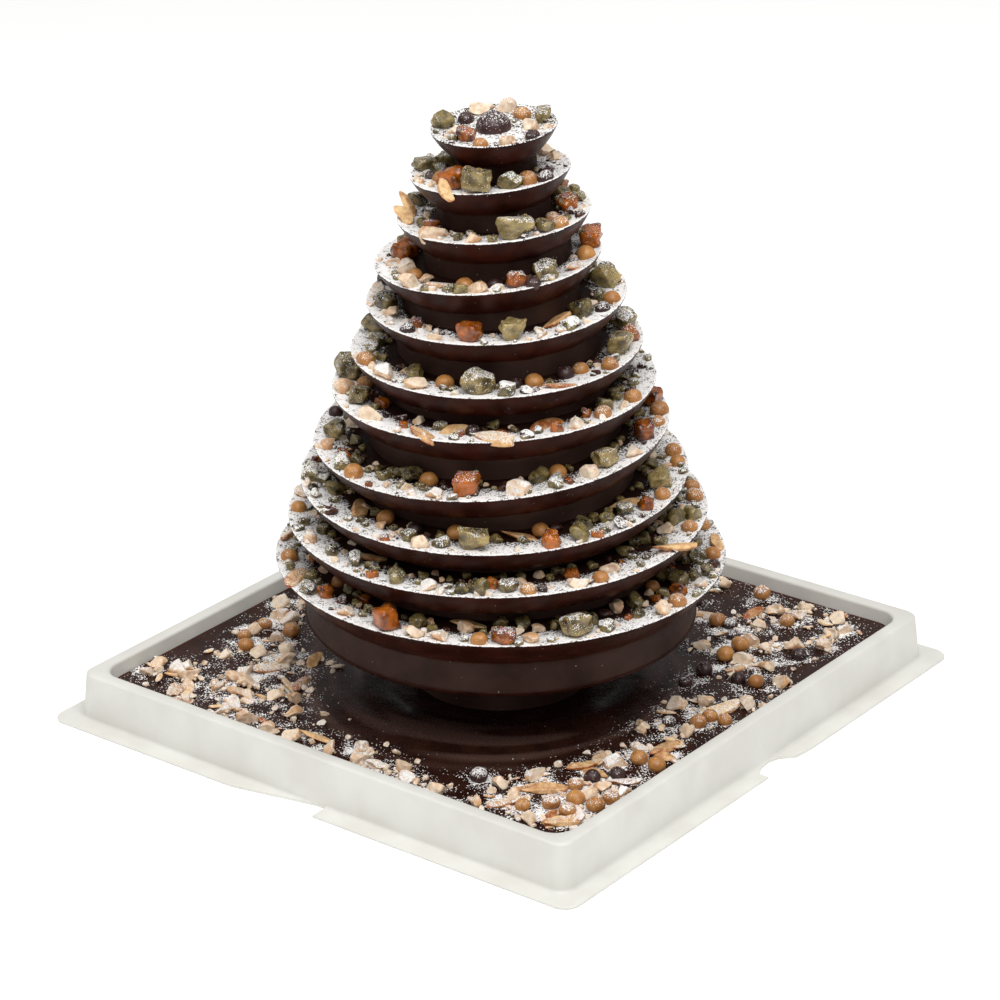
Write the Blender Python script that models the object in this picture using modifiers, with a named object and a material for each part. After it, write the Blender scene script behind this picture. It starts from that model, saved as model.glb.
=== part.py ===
"""Chocolate Christmas tree: eleven dished tiers on a short stem, on a slab poured into a white tray.

Units are metres, +Z is up, and the origin is under the middle of the tray, on the surface it
stands on.  The tray's sides lie along X and Y.  Every tier leans by its own small amount, and
rests on the dished top of the tier below.  Angles round the tree are counted from the LEFT
direction, counter-clockwise as seen from above, so the FRONT lies at 90 degrees.

The larger candied pieces are nodes of their own.  The smaller nuts, pearls and flakes are joined
to the tier or slab that they lie on.
"""

import math
import random

import bmesh
import bpy
from mathutils import Matrix, Vector

MM = 0.001
GAP = 0.3 * MM
TINY = 0.02 * MM
MERGE = 0.01 * MM
SHARP_ANGLE = math.radians(35.0)
SEED = 25

# Tray: a pressed shell with a flat flange, a hollow rim drawn here solid, and a thin floor.
FLANGE_HALF = 132.0 * MM
FLANGE_THICK = 1.0 * MM
FLANGE_CORNER = 7.0 * MM
WALL_FOOT_HALF = 123.9 * MM
WALL_FILLET = 1.2 * MM
RIM_Z = 20.6 * MM
RIM_OUTER_HALF = 122.6 * MM
RIM_INNER_HALF = 116.5 * MM
RIM_ROUND = 0.9 * MM
OUTER_CORNER = 6.0 * MM
INNER_CORNER = 9.0 * MM
FLOOR_Z = 1.3 * MM
FLOOR_HALF = 114.0 * MM
CORNER_STEPS = 4
# Each side of the flange has one torn-looking thumb notch, drawn from the side's middle.
LONG_NOTCH = ((-34.0, 0.5), (-34.0, 0.0), (4.0, -8.0), (8.5, -8.0), (8.5, 0.5))
ROUND_NOTCH = (
    (-3.0, 0.5),
    (-3.0, -4.0),
    (1.5, -6.6),
    (8.0, -7.4),
    (12.5, -6.2),
    (18.0, -1.0),
    (32.0, 0.5),
)

# Slab of poured chocolate.
SLAB_Z = 14.6 * MM
SLAB_CORNER = 8.6 * MM
SWELL_RADII = (49.0, 50.0, 58.0, 66.0)
SWELL_RISES = (-1.0, 0.6, 0.8, -1.0)

# Tree: its axis stands a little off the tray's middle, towards the front corner.
TREE_X = 8.2 * MM
TREE_Y = -12.0 * MM
LEFT = math.radians(218.55)
TIER_COUNT = 11
TOP_RADIUS = 24.5 * MM
RADIUS_STEP = 6.55 * MM
RIM_HEIGHTS = (246.3, 228.9, 212.2, 194.6, 178.4, 158.9, 143.1, 123.6, 105.0, 88.5, 69.4)
LEAN_RIGHT = (3.0, 3.8, 3.4, 3.5, 1.9, 1.3, 1.3, 3.0, 0.5, 0.0, -1.1)
LEAN_FRONT = (1.6, -1.0, 0.3, 0.5, 2.4, 1.6, 1.0, 2.1, 2.7, 1.2, 0.0)
SHIFT_RIGHT = (0.4, -1.2, 0.0, -2.8, 0.2, 0.0, -1.4, -2.8, -2.0, -0.9, 0.0)
DISH_DEPTH = 1.5 * MM
FLAT_SHARE = 0.80
LIP_THICK = 0.7 * MM
BAND_HEIGHT = 10.8 * MM
BAND_INSET = 7.9 * MM
FOOT_SHARE = 0.785
FOOT_STEP = 1.0 * MM
FACET = 12.5 * MM
FEWEST_FACETS = 22
MOST_FACETS = 40

# The lowest tier has a deeper band and a straight body above its rounded lower lip.
LOW_BAND_HEIGHT = 12.6 * MM
LOW_BAND_INSET = 11.2 * MM
BODY_RADIUS = 78.3 * MM
BODY_DROP = 24.9 * MM
UNDERSIDE_RADIUS = 74.0 * MM
UNDERSIDE_DROP = 28.8 * MM
STEM_RADIUS = 35.4 * MM
STEM_FOOT_RADIUS = 36.2 * MM
STEM_FACETS = 28

# The ball on top is sunk almost to its middle, so it shows as a low dome.  The pieces round it
# keep clear of a ball of its radius whose middle is at BALL_ROOM.
BALL_RADIUS = 6.8 * MM
BALL_FLAT = 6.4 * MM
BALL_SQUASH = 0.95
BALL_ROOM = 4.2 * MM

# Toppings: letter -> (name, length, width, height) in millimetres.  A capital lies near the rim
# and a small letter near the foot of the tier above.  A dot is a bare place.
KINDS = {
    "p": ("caramel_pearl", 7.0, 7.0, 7.0),
    "d": ("dark_pearl", 6.6, 6.6, 6.6),
    "n": ("nut_piece", 7.6, 6.2, 4.8),
    "a": ("almond_flake", 15.5, 4.8, 2.6),
    "o": ("candied_peel", 7.6, 6.6, 5.8),
    "g": ("candied_fruit", 8.0, 7.2, 6.0),
    "b": ("dark_piece", 6.4, 5.4, 4.2),
    "*": ("green_lump", 13.0, 11.5, 9.6),
    "#": ("orange_cube", 10.0, 9.2, 8.4),
}
# How far the corners of each kind stray from its regular shape, as a share of its size.
ROUGHNESS = {
    "p": 0.0,
    "d": 0.0,
    "n": 0.16,
    "a": 0.10,
    "o": 0.08,
    "g": 0.07,
    "b": 0.16,
    "*": 0.06,
    "#": 0.05,
}
LUMPS = "*#"
LUMP_SIZES = (0.75, 1.08)
LUMP_LANE = 0.55
LUMP_TRIM = 1.0 * MM
PIECE_SIZES = (0.86, 1.12)
CUBES = "#onab"
FLAKE_TAPER = 0.55
FLAKE_TAPER_FROM = -0.2
# How far pieces stray from their lane, and how far they turn from lying along the rim.
LANE_SPREAD = 0.8 * MM
TURN_SPREAD = 40.0
RIM_SPARE = 1.2 * MM
OVERHANG = 0.6 * MM
# Only the larger pieces and those that stand clear near the rims are drawn in this model.
JOINED_ON_TIERS = "aAoOGNP"
JOINED_ON_SLAB = "aAN"
# What lies round each tier, as (first angle, step, letters); past its end the row runs backwards
# round the far side.
TIER_PLANS = (
    (15.0, 30.0, "noPNDnGpNNdG"),
    (-20.0, 20.0, "G.poA*gpDboN"),
    (-30.0, 15.0, "GAA.oN.N.*GPp.og"),
    (-10.0, 13.0, "o.npNapNdoD*AP.O.G"),
    (-12.0, 11.0, "N.gn.D.a#.*.aagDP.*"),
    (-18.0, 9.0, "*...P.NgNp.*.dpAdpPN*O"),
    (0.0, 9.0, "pN*.Nb.AadAna*.PnPa.d"),
    (-18.0, 9.0, "Dn*N.GP.gpN#.NgpN*N.#P"),
    (3.0, 8.0, "G.o.apndNp*.apb.B.aP*.P"),
    (0.0, 7.0, "PgpN*padgpNdGbP*NP.n.A.P*.P"),
    (6.0, 6.5, "P.Ap*.Np#NNaPON.*..nNPpNbBPA"),
)
# What lies on the slab, seen from above with the back edge first, one letter for each cell.
CELL = 8.0 * MM
CELL_SPREAD = 0.25
SLAB_SIZES = (0.85, 1.1)
WALL_SPARE = 1.0 * MM
SLAB_PLAN = (
    "...an...........d.n.p..n.n..",
    ".n.p.N..n.....p.......nn..n.",
    "..A..n.p.............A.p..n.",
    ".n.d.a............d...n...n.",
    "..N..n.............apd...N..",
    ".p.n..................dNn.d.",
    "..n.p..................p....",
    ".a...................N.pnN..",
    "..n.....................A..n",
    ".......................d.dp.",
    "............................",
    ".......................d...N",
    ".........................nA.",
    "..p.....................N.pp",
    "..........................p.",
    ".n.......................dn.",
    "n.......................n...",
    ".Nn.......................a.",
    ".p.p.....................N.a",
    ".n.N......................pp",
    ".p..n.a.................an..",
    "..pn.n..................Aada",
    "..N..A.a.................dNN",
    "....n..a...............n.pNp",
    ".N..Nn.Nn..............Aa.pp",
    "nnn.nNN..n...........dnn.ppa",
    "n..a..N.....A.n..n.....ap.aa",
    "...nn.n.nN.n.N.Nn.n.N.n..N..",
)
SINK = 0.9 * MM
CLEARANCE = 0.5 * MM
CROWDING = 0.8
# Places tried in turn for a piece that is in the way of another: (outwards, along the rim).
NUDGE_OUT = 1.6 * MM
NUDGE_ALONG = 2.0 * MM
NUDGES = tuple(
    (out * NUDGE_OUT, along * NUDGE_ALONG) for out in (0, 1, -1, 2, 3) for along in (0, 1, -1, 2, -2)
)

COLOURS = {
    "tray": ((0.83, 0.81, 0.76), 0.45),
    "slab": ((0.022, 0.010, 0.008), 0.22),
    "chocolate": ((0.030, 0.012, 0.009), 0.30),
    "green_lump": ((0.22, 0.19, 0.06), 0.45),
    "orange_cube": ((0.55, 0.13, 0.02), 0.35),
    "dark_ball": ((0.035, 0.014, 0.014), 0.35),
}


def clear_scene():
    """Remove every object that the file holds."""
    for item in list(bpy.data.objects):
        bpy.data.objects.remove(item)


def new_collection(name):
    """Make a collection and hang it under the scene's own."""
    collection = bpy.data.collections.new(name)
    bpy.context.scene.collection.children.link(collection)
    return collection


def make_material(name):
    """Make a plain Principled material from the colour table."""
    colour, roughness = COLOURS[name]
    material = bpy.data.materials.new(name)
    material.use_nodes = True
    shader = material.node_tree.nodes["Principled BSDF"]
    shader.inputs["Base Color"].default_value = (*colour, 1.0)
    shader.inputs["Roughness"].default_value = roughness
    shader.inputs["Metallic"].default_value = 0.0
    return material


def object_from(bm, name, collection, matrix=None):
    """Turn a bmesh into a named object, placed by its matrix."""
    mesh = bpy.data.meshes.new(name)
    bm.to_mesh(mesh)
    bm.free()
    item = bpy.data.objects.new(name, mesh)
    collection.objects.link(item)
    item.matrix_world = matrix or Matrix.Identity(4)
    return item


def turned_mesh(profile, facets):
    """Turn a profile of (radius, height) points, top to bottom, into a bmesh with a Screw modifier."""
    mesh = bpy.data.meshes.new("profile")
    points = [(radius, 0.0, height) for radius, height in profile]
    mesh.from_pydata(points, [(i, i + 1) for i in range(len(points) - 1)], [])
    item = bpy.data.objects.new("profile", mesh)
    bpy.context.scene.collection.objects.link(item)
    screw = item.modifiers.new("turn", "SCREW")
    screw.steps = facets
    screw.render_steps = facets
    screw.use_merge_vertices = True
    screw.merge_threshold = MERGE
    evaluated = item.evaluated_get(bpy.context.evaluated_depsgraph_get())
    bm = bmesh.new()
    bm.from_mesh(evaluated.to_mesh())
    evaluated.to_mesh_clear()
    bpy.data.objects.remove(item)
    return bm


def cut_below(bm, point, normal):
    """Cut away what lies below a plane and close the cut."""
    geometry = bm.verts[:] + bm.edges[:] + bm.faces[:]
    bmesh.ops.bisect_plane(bm, geom=geometry, plane_co=point, plane_no=normal, clear_inner=True)
    open_edges = [edge for edge in bm.edges if edge.is_boundary]
    bmesh.ops.holes_fill(bm, edges=open_edges, sides=0)


def keep_one_body(item):
    """Keep a mesh's largest body: loose scraps go, and sealed hollows are filled."""
    bm = bmesh.new()
    bm.from_mesh(item.data)
    bmesh.ops.dissolve_degenerate(bm, dist=TINY, edges=bm.edges[:])
    seen = set()
    bodies = []
    for start in bm.faces:
        if start in seen:
            continue
        body = []
        stack = [start]
        seen.add(start)
        while stack:
            face = stack.pop()
            body.append(face)
            for edge in face.edges:
                for other in edge.link_faces:
                    if other not in seen:
                        seen.add(other)
                        stack.append(other)
        bodies.append(body)
    bodies.sort(key=len)
    for body in bodies[:-1]:
        bmesh.ops.delete(bm, geom=body, context="FACES")
    bm.to_mesh(item.data)
    bm.free()


def join_pieces(item, pieces):
    """Join a collection of small pieces to an object with one Boolean union."""
    union = item.modifiers.new("join", "BOOLEAN")
    union.operation = "UNION"
    union.solver = "EXACT"
    union.operand_type = "COLLECTION"
    union.collection = pieces
    bpy.context.view_layer.update()
    evaluated = item.evaluated_get(bpy.context.evaluated_depsgraph_get())
    joined = bpy.data.meshes.new_from_object(evaluated)
    item.modifiers.clear()
    item.data = joined
    for piece in list(pieces.objects):
        bpy.data.objects.remove(piece)
    bpy.data.collections.remove(pieces)
    keep_one_body(item)


def finish(item, material, smooth=True):
    """Give a part its material and shading."""
    item.data.materials.clear()
    item.data.materials.append(material)
    if smooth:
        item.data.shade_smooth()
        item.data.set_sharp_from_angle(angle=SHARP_ANGLE)


# ---------------------------------------------------------------- tray and slab


def rounded_square(bm, half, corner, height):
    """Add one closed loop of edges: a square of rounded corners at a height."""
    loop = []
    for quarter in range(4):
        middle = math.radians(45.0 + 90.0 * quarter)
        centre = Vector((math.cos(middle), math.sin(middle), 0.0)) * (half - corner) * math.sqrt(2.0)
        for step in range(CORNER_STEPS + 1):
            angle = middle + math.radians(90.0) * (step / CORNER_STEPS - 0.5)
            place = centre + Vector((math.cos(angle), math.sin(angle), 0.0)) * corner
            loop.append(bm.verts.new((place.x, place.y, height)))
    count = len(loop)
    return [bm.edges.new((loop[i], loop[(i + 1) % count])) for i in range(count)]


def lofted(levels):
    """Bridge rounded squares, given as (half side, corner radius, height), and cap both ends."""
    bm = bmesh.new()
    loops = [rounded_square(bm, *level) for level in levels]
    for lower, upper in zip(loops, loops[1:]):
        bmesh.ops.bridge_loops(bm, edges=lower + upper)
    bmesh.ops.holes_fill(bm, edges=[edge for edge in bm.edges if edge.is_boundary], sides=0)
    bmesh.ops.recalc_face_normals(bm, faces=bm.faces[:])
    return bm


def notch_cutter(name, outline, turn, cutters):
    """Make the cutter of one flange notch; its outline is (along, outwards from the edge) in mm."""
    bm = bmesh.new()
    corners = [bm.verts.new((along * MM, -FLANGE_HALF - out * MM, -FLANGE_THICK)) for along, out in outline]
    face = bm.faces.new(corners)
    grown = bmesh.ops.extrude_face_region(bm, geom=[face])
    lifted = [part for part in grown["geom"] if isinstance(part, bmesh.types.BMVert)]
    bmesh.ops.translate(bm, verts=lifted, vec=(0.0, 0.0, 3.0 * FLANGE_THICK))
    bmesh.ops.recalc_face_normals(bm, faces=bm.faces[:])
    cutter = object_from(bm, name, cutters, Matrix.Rotation(math.radians(turn), 4, "Z"))
    cutter.display_type = "WIRE"
    cutter.hide_render = True
    return cutter


def build_tray(parts, cutters):
    """Build the tray: flange, outer wall, rounded rim, inner wall and floor."""
    levels = (
        (FLANGE_HALF, FLANGE_CORNER, 0.0),
        (FLANGE_HALF, FLANGE_CORNER, FLANGE_THICK),
        (WALL_FOOT_HALF + WALL_FILLET, OUTER_CORNER, FLANGE_THICK),
        (WALL_FOOT_HALF, OUTER_CORNER, FLANGE_THICK + WALL_FILLET),
        (RIM_OUTER_HALF, OUTER_CORNER, RIM_Z - RIM_ROUND),
        (RIM_OUTER_HALF - RIM_ROUND, OUTER_CORNER, RIM_Z),
        (RIM_INNER_HALF + RIM_ROUND, INNER_CORNER, RIM_Z),
        (RIM_INNER_HALF, INNER_CORNER, RIM_Z - RIM_ROUND),
        (FLOOR_HALF, INNER_CORNER, FLOOR_Z),
    )
    tray = object_from(lofted(levels), "tray", parts)
    for number, (outline, turn) in enumerate(
        ((LONG_NOTCH, 0.0), (ROUND_NOTCH, 90.0), (LONG_NOTCH, 180.0), (ROUND_NOTCH, 270.0))
    ):
        cut = tray.modifiers.new(f"notch_{number}", "BOOLEAN")
        cut.operation = "DIFFERENCE"
        cut.solver = "EXACT"
        cut.object = notch_cutter(f"notch_cutter_{number}", outline, turn, cutters)
    finish(tray, make_material("tray"))
    return tray


def build_slab(parts):
    """Build the slab, with the low round swell near the stem and the pieces scattered on it."""
    slope = (RIM_INNER_HALF - FLOOR_HALF) / (RIM_Z - RIM_ROUND - FLOOR_Z)
    top_half = FLOOR_HALF + slope * (SLAB_Z - FLOOR_Z) - GAP
    levels = (
        (FLOOR_HALF - GAP, SLAB_CORNER, FLOOR_Z + GAP),
        (top_half, SLAB_CORNER, SLAB_Z),
    )
    slab = object_from(lofted(levels), "chocolate_base", parts)
    pieces = new_collection("slab_pieces")
    swell = turned_mesh([(r * MM, rise * MM) for r, rise in zip(SWELL_RADII, SWELL_RISES)], STEM_FACETS)
    close_ring(swell)
    object_from(swell, "swell", pieces, Matrix.Translation((TREE_X, TREE_Y, SLAB_Z)))
    rng = random.Random(SEED)
    for letter, x, y, size, turn in list(slab_places(rng)):
        bm = piece_mesh(letter.lower(), size, rng)
        lift = KINDS[letter.lower()][3] * MM * size * 0.5 - SINK
        place = Matrix.Translation((x, y, SLAB_Z + lift)) @ Matrix.Rotation(turn, 4, "Z")
        if letter in JOINED_ON_SLAB:
            object_from(bm, "slab_piece", pieces, place)
        else:
            bm.free()
    join_pieces(slab, pieces)
    finish(slab, make_material("slab"))
    return slab


def close_ring(bm):
    """Bridge a turned strip's two open edge loops below, so that it becomes a closed ring."""
    bmesh.ops.bridge_loops(bm, edges=[edge for edge in bm.edges if edge.is_boundary])
    bmesh.ops.recalc_face_normals(bm, faces=bm.faces[:])


def slab_places(rng):
    """Yield (letter, x, y, size, turn) for each piece of the slab's plan, clear of the tray's wall."""
    for row, line in enumerate(SLAB_PLAN):
        for column, letter in enumerate(line):
            if letter == ".":
                continue
            x = (column + 0.5 + rng.uniform(-CELL_SPREAD, CELL_SPREAD) - 0.5 * len(line)) * CELL
            y = (0.5 * len(SLAB_PLAN) - row - 0.5 + rng.uniform(-CELL_SPREAD, CELL_SPREAD)) * CELL
            size = rng.uniform(*SLAB_SIZES)
            turn = rng.uniform(0.0, math.pi)
            _, length, width, _ = KINDS[letter.lower()]
            grown = (0.5 + ROUGHNESS[letter.lower()]) * MM * size
            edge = FLOOR_HALF - WALL_SPARE
            limit_x = edge - grown * (length * abs(math.cos(turn)) + width * abs(math.sin(turn)))
            limit_y = edge - grown * (length * abs(math.sin(turn)) + width * abs(math.cos(turn)))
            x = max(-limit_x, min(limit_x, x))
            y = max(-limit_y, min(limit_y, y))
            yield letter, x, y, size, turn


# ---------------------------------------------------------------- tiers


def tier_radius(index):
    """Rim radius of a tier, counted from the top."""
    return TOP_RADIUS + RADIUS_STEP * index


def foot_radius(index):
    """Radius of a tier's straight foot, which is never wider than the end of its band."""
    radius = tier_radius(index)
    return min(FOOT_SHARE * radius, radius - BAND_INSET - FOOT_STEP)


def tier_matrix(index):
    """Place of a tier's rim plane: its X axis points left and its Y axis points to the front."""
    right = LEFT + math.pi
    shift = SHIFT_RIGHT[index] * MM
    base = Vector((TREE_X + shift * math.cos(right), TREE_Y + shift * math.sin(right), 0.0))
    base.z = RIM_HEIGHTS[index] * MM
    lean = Matrix.Rotation(math.radians(LEAN_RIGHT[index]), 4, "Y")
    nod = Matrix.Rotation(math.radians(-LEAN_FRONT[index]), 4, "X")
    return Matrix.Translation(base) @ Matrix.Rotation(LEFT, 4, "Z") @ lean @ nod


def tier_profile(index):
    """Outline of a tier from the middle of its dished top, over the rim and down to its foot."""
    radius = tier_radius(index)
    top = [
        (0.0, -DISH_DEPTH),
        (FLAT_SHARE * radius, -DISH_DEPTH),
        (radius - 0.6 * LIP_THICK, 0.0),
        (radius, -LIP_THICK),
    ]
    if index == TIER_COUNT - 1:
        return top + [
            (radius - LOW_BAND_INSET, -LOW_BAND_HEIGHT),
            (BODY_RADIUS, -LOW_BAND_HEIGHT - LIP_THICK),
            (BODY_RADIUS, -BODY_DROP),
            (UNDERSIDE_RADIUS, -UNDERSIDE_DROP),
            (0.0, -UNDERSIDE_DROP),
        ]
    foot = foot_radius(index)
    drop = (RIM_HEIGHTS[index] - RIM_HEIGHTS[index + 1]) * MM + 3.0 * DISH_DEPTH
    return top + [(radius - BAND_INSET, -BAND_HEIGHT), (foot, -BAND_HEIGHT), (foot, -drop), (0.0, -drop)]


def floor_height(index, radius):
    """Height of a tier's dished top at a radius, in the tier's own frame."""
    flat = FLAT_SHARE * tier_radius(index)
    if radius <= flat:
        return -DISH_DEPTH
    share = min(1.0, (radius - flat) / (tier_radius(index) - flat))
    return -DISH_DEPTH * (1.0 - share)


def distance_to_profile(index, point):
    """Distance from a point, in a tier's own frame, to the tier's outer side; below zero inside."""
    place = Vector((math.hypot(point.x, point.y), point.z))
    outline = [Vector(corner) for corner in tier_profile(index)[2:-1]]
    nearest = 1.0
    side = 1.0
    for start, end in zip(outline, outline[1:]):
        along = end - start
        if along.length < 0.1 * MM:
            continue
        share = max(0.0, min(1.0, (place - start).dot(along) / along.length_squared))
        offset = place - (start + along * share)
        if offset.length < nearest:
            nearest = offset.length
            side = 1.0 if along.x * offset.y - along.y * offset.x >= 0.0 else -1.0
    return nearest * side


def balls_of(letter, size, radius, angle, turn, floor):
    """Balls, as (centre, radius), that cover a piece lying at a place in a tier's own frame."""
    kind = letter.lower()
    _, length, width, height = KINDS[kind]
    grown = (1.0 + 2.0 * ROUGHNESS[kind]) * MM * size
    section = math.hypot(width, height) if kind in CUBES else max(width, height)
    ball = 0.5 * section * grown
    spread = max(0.0, 0.5 * length * grown - ball)
    centre = Vector((radius * math.cos(angle), radius * math.sin(angle), floor + 0.5 * height * MM * size))
    axis = Vector((math.cos(turn), math.sin(turn), 0.0))
    if spread < 1.0 * MM:
        return [(centre, ball + spread)]
    return [(centre + axis * spread * share, ball) for share in (-1.0, 0.0, 1.0)]


def is_free(balls, letter, index, taken):
    """Say whether a piece is clear of the tier above and of the pieces laid before it."""
    if index > 0:
        to_upper = tier_matrix(index - 1).inverted() @ tier_matrix(index)
        for centre, ball in balls:
            if distance_to_profile(index - 1, to_upper @ centre) < ball + CLEARANCE:
                return False
    for other_letter, others in taken:
        lump = letter in LUMPS or other_letter in LUMPS
        share = 1.0 if lump else CROWDING
        spare = CLEARANCE if lump else 0.0
        for centre, ball in balls:
            for other, other_ball in others:
                if (centre - other).length < (ball + other_ball) * share + spare:
                    return False
    return True


def lane_radius(letter, index):
    """Radius at which a piece would best lie: near the rim, near the foot above, or between."""
    radius = tier_radius(index)
    inner = foot_radius(index - 1) if index > 0 else 0.45 * radius
    half_width = 0.5 * KINDS[letter.lower()][2] * MM
    if letter in LUMPS:
        return inner + LUMP_LANE * (radius - inner)
    if letter.isupper():
        return radius - half_width - RIM_SPARE
    return inner + half_width + CLEARANCE


def full_plan(index):
    """A tier's letters all the way round, as (angle, letter)."""
    first, step, letters = TIER_PLANS[index]
    places = [(first + step * i, letter) for i, letter in enumerate(letters)]
    count = int(round((360.0 - step * len(letters)) / step))
    back = letters[::-1]
    start = first + step * len(letters)
    places += [(start + step * i, back[i % len(back)]) for i in range(count)]
    return places


def tier_places(index, rng):
    """Lay a tier's pieces: (letter, radius, angle, turn, size, floor), the lumps first."""
    plan = [(angle, letter) for angle, letter in full_plan(index) if letter != "."]
    plan.sort(key=lambda place: place[1] not in LUMPS)
    taken = []
    if index == 0:
        taken.append(("*", [(Vector((0.0, 0.0, BALL_ROOM)), BALL_RADIUS)]))
    for degrees, letter in plan:
        size = rng.uniform(*(LUMP_SIZES if letter in LUMPS else PIECE_SIZES))
        turn = math.radians(degrees + 90.0 + rng.uniform(-TURN_SPREAD, TURN_SPREAD))
        lane = lane_radius(letter, index) + rng.uniform(-LANE_SPREAD, LANE_SPREAD)
        for out, along in NUDGES:
            radius = lane + out
            angle = math.radians(degrees) + along / radius
            reach = 0.5 * KINDS[letter.lower()][2] * MM * size
            if radius + reach > tier_radius(index) + OVERHANG:
                continue
            half_length = 0.5 * KINDS[letter.lower()][1] * MM * size
            floor = floor_height(index, radius + (half_length if letter in LUMPS else 0.0))
            balls = balls_of(letter, size, radius, angle, turn, floor)
            if is_free(balls, letter, index, taken):
                taken.append((letter, balls))
                yield letter, radius, angle, turn, size, floor
                break


def piece_mesh(kind, size, rng):
    """Make one topping round its own middle, its length along X."""
    _, length, width, height = KINDS[kind]
    bm = bmesh.new()
    rough = ROUGHNESS[kind]
    if kind in CUBES:
        bmesh.ops.create_cube(bm, size=1.0)
    elif kind == "*":
        bmesh.ops.create_uvsphere(bm, u_segments=8, v_segments=5, radius=0.5)
    else:
        bmesh.ops.create_icosphere(bm, subdivisions=1, radius=0.5)
    for vert in bm.verts:
        vert.co += Vector([rng.uniform(-rough, rough) for _ in range(3)])
        if kind == "a":
            vert.co.y *= 1.0 - FLAKE_TAPER * max(0.0, vert.co.x - FLAKE_TAPER_FROM)
    bmesh.ops.scale(bm, vec=(length * MM * size, width * MM * size, height * MM * size), verts=bm.verts[:])
    bmesh.ops.triangulate(bm, faces=bm.faces[:])
    bmesh.ops.recalc_face_normals(bm, faces=bm.faces[:])
    return bm


def sit_flat(bm, height):
    """Cut a lump level near its underside, and raise it by a gap from what it lies on."""
    level = LUMP_TRIM - 0.5 * height
    cut_below(bm, (0.0, 0.0, level), (0.0, 0.0, 1.0))
    bmesh.ops.translate(bm, verts=bm.verts[:], vec=(0.0, 0.0, GAP - level))


def build_lump(letter, place, matrix, number, parts, materials):
    """Build one of the large candied pieces as a node of its own, resting on its tier."""
    _, radius, angle, turn, size, floor = place
    name = KINDS[letter][0]
    bm = piece_mesh(letter, size, random.Random(SEED + number))
    sit_flat(bm, KINDS[letter][3] * MM * size)
    spot = Matrix.Translation((radius * math.cos(angle), radius * math.sin(angle), floor))
    lump = object_from(bm, f"{name}_{number:02d}", parts, matrix @ spot @ Matrix.Rotation(turn, 4, "Z"))
    finish(lump, materials[name])
    return lump


def build_tier(index, parts, materials, counts):
    """Build a tier with its joined toppings, and the lumps that lie loose on it."""
    matrix = tier_matrix(index)
    facets = int(min(MOST_FACETS, max(FEWEST_FACETS, 2.0 * math.pi * tier_radius(index) / FACET)))
    bm = turned_mesh(tier_profile(index), facets)
    if index < TIER_COUNT - 1:
        below = matrix.inverted() @ tier_matrix(index + 1)
        level = below @ Vector((0.0, 0.0, GAP - DISH_DEPTH))
        cut_below(bm, level, below.to_3x3() @ Vector((0.0, 0.0, 1.0)))
    tier = object_from(bm, f"tier_{index + 1:02d}", parts, matrix)
    pieces = new_collection(f"tier_pieces_{index + 1:02d}")
    rng = random.Random(SEED + index)
    for place in list(tier_places(index, rng)):
        letter, radius, angle, turn, size, floor = place
        if letter in LUMPS:
            counts[letter] += 1
            build_lump(letter, place, matrix, counts[letter], parts, materials)
        elif letter in JOINED_ON_TIERS:
            lift = floor + 0.5 * KINDS[letter.lower()][3] * MM * size - SINK
            spot = Matrix.Translation((radius * math.cos(angle), radius * math.sin(angle), lift))
            bm = piece_mesh(letter.lower(), size, rng)
            object_from(bm, "piece", pieces, matrix @ spot @ Matrix.Rotation(turn, 4, "Z"))
    join_pieces(tier, pieces)
    finish(tier, materials["chocolate"])
    return tier


def build_stem(parts, materials):
    """Build the short stem between the slab and the lowest tier's underside."""
    foot = SLAB_Z + GAP
    under = tier_matrix(TIER_COUNT - 1) @ Vector((0.0, 0.0, -UNDERSIDE_DROP - GAP))
    high = RIM_HEIGHTS[-1] * MM
    profile = [(0.0, high), (STEM_RADIUS, high), (STEM_FOOT_RADIUS, SLAB_Z), (0.0, SLAB_Z)]
    bm = turned_mesh(profile, STEM_FACETS)
    bmesh.ops.translate(bm, verts=bm.verts[:], vec=(TREE_X, TREE_Y, 0.0))
    cut_below(bm, (0.0, 0.0, foot), (0.0, 0.0, 1.0))
    normal = tier_matrix(TIER_COUNT - 1).to_3x3() @ Vector((0.0, 0.0, -1.0))
    cut_below(bm, under, normal)
    bmesh.ops.recalc_face_normals(bm, faces=bm.faces[:])
    stem = object_from(bm, "stem", parts)
    finish(stem, materials["chocolate"])
    return stem


def build_ball(parts, materials):
    """Build the dark ball in the middle of the top tier, cut flat where it rests."""
    bm = bmesh.new()
    bmesh.ops.create_icosphere(bm, subdivisions=2, radius=BALL_RADIUS)
    cut_below(bm, (0.0, 0.0, -BALL_RADIUS + BALL_FLAT), (0.0, 0.0, 1.0))
    bmesh.ops.scale(bm, vec=(1.0, 1.0, BALL_SQUASH), verts=bm.verts[:])
    lift = (BALL_RADIUS - BALL_FLAT) * BALL_SQUASH - DISH_DEPTH + GAP
    ball = object_from(bm, "top_ball", parts, tier_matrix(0) @ Matrix.Translation((0.0, 0.0, lift)))
    finish(ball, materials["dark_ball"])
    return ball


def main():
    """Build the whole object."""
    clear_scene()
    parts = new_collection("chocolate_christmas_tree")
    cutters = new_collection("cutters")
    foods = ("chocolate", "green_lump", "orange_cube", "dark_ball")
    materials = {name: make_material(name) for name in foods}
    build_tray(parts, cutters)
    build_slab(parts)
    build_stem(parts, materials)
    counts = {letter: 0 for letter in LUMPS}
    for index in range(TIER_COUNT):
        build_tier(index, parts, materials, counts)
    build_ball(parts, materials)


if __name__ == "__main__":
    main()
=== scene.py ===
"""Looks of the chocolate Christmas tree: dished tiers on a stem, on a slab poured into a white tray.

The forms repeat the solids' sizes and the rule by which their toppings are laid, in metres, and
add what the solids leave out: thin uneven rims, the softer toppings, crumbs and icing sugar.
"""

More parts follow.
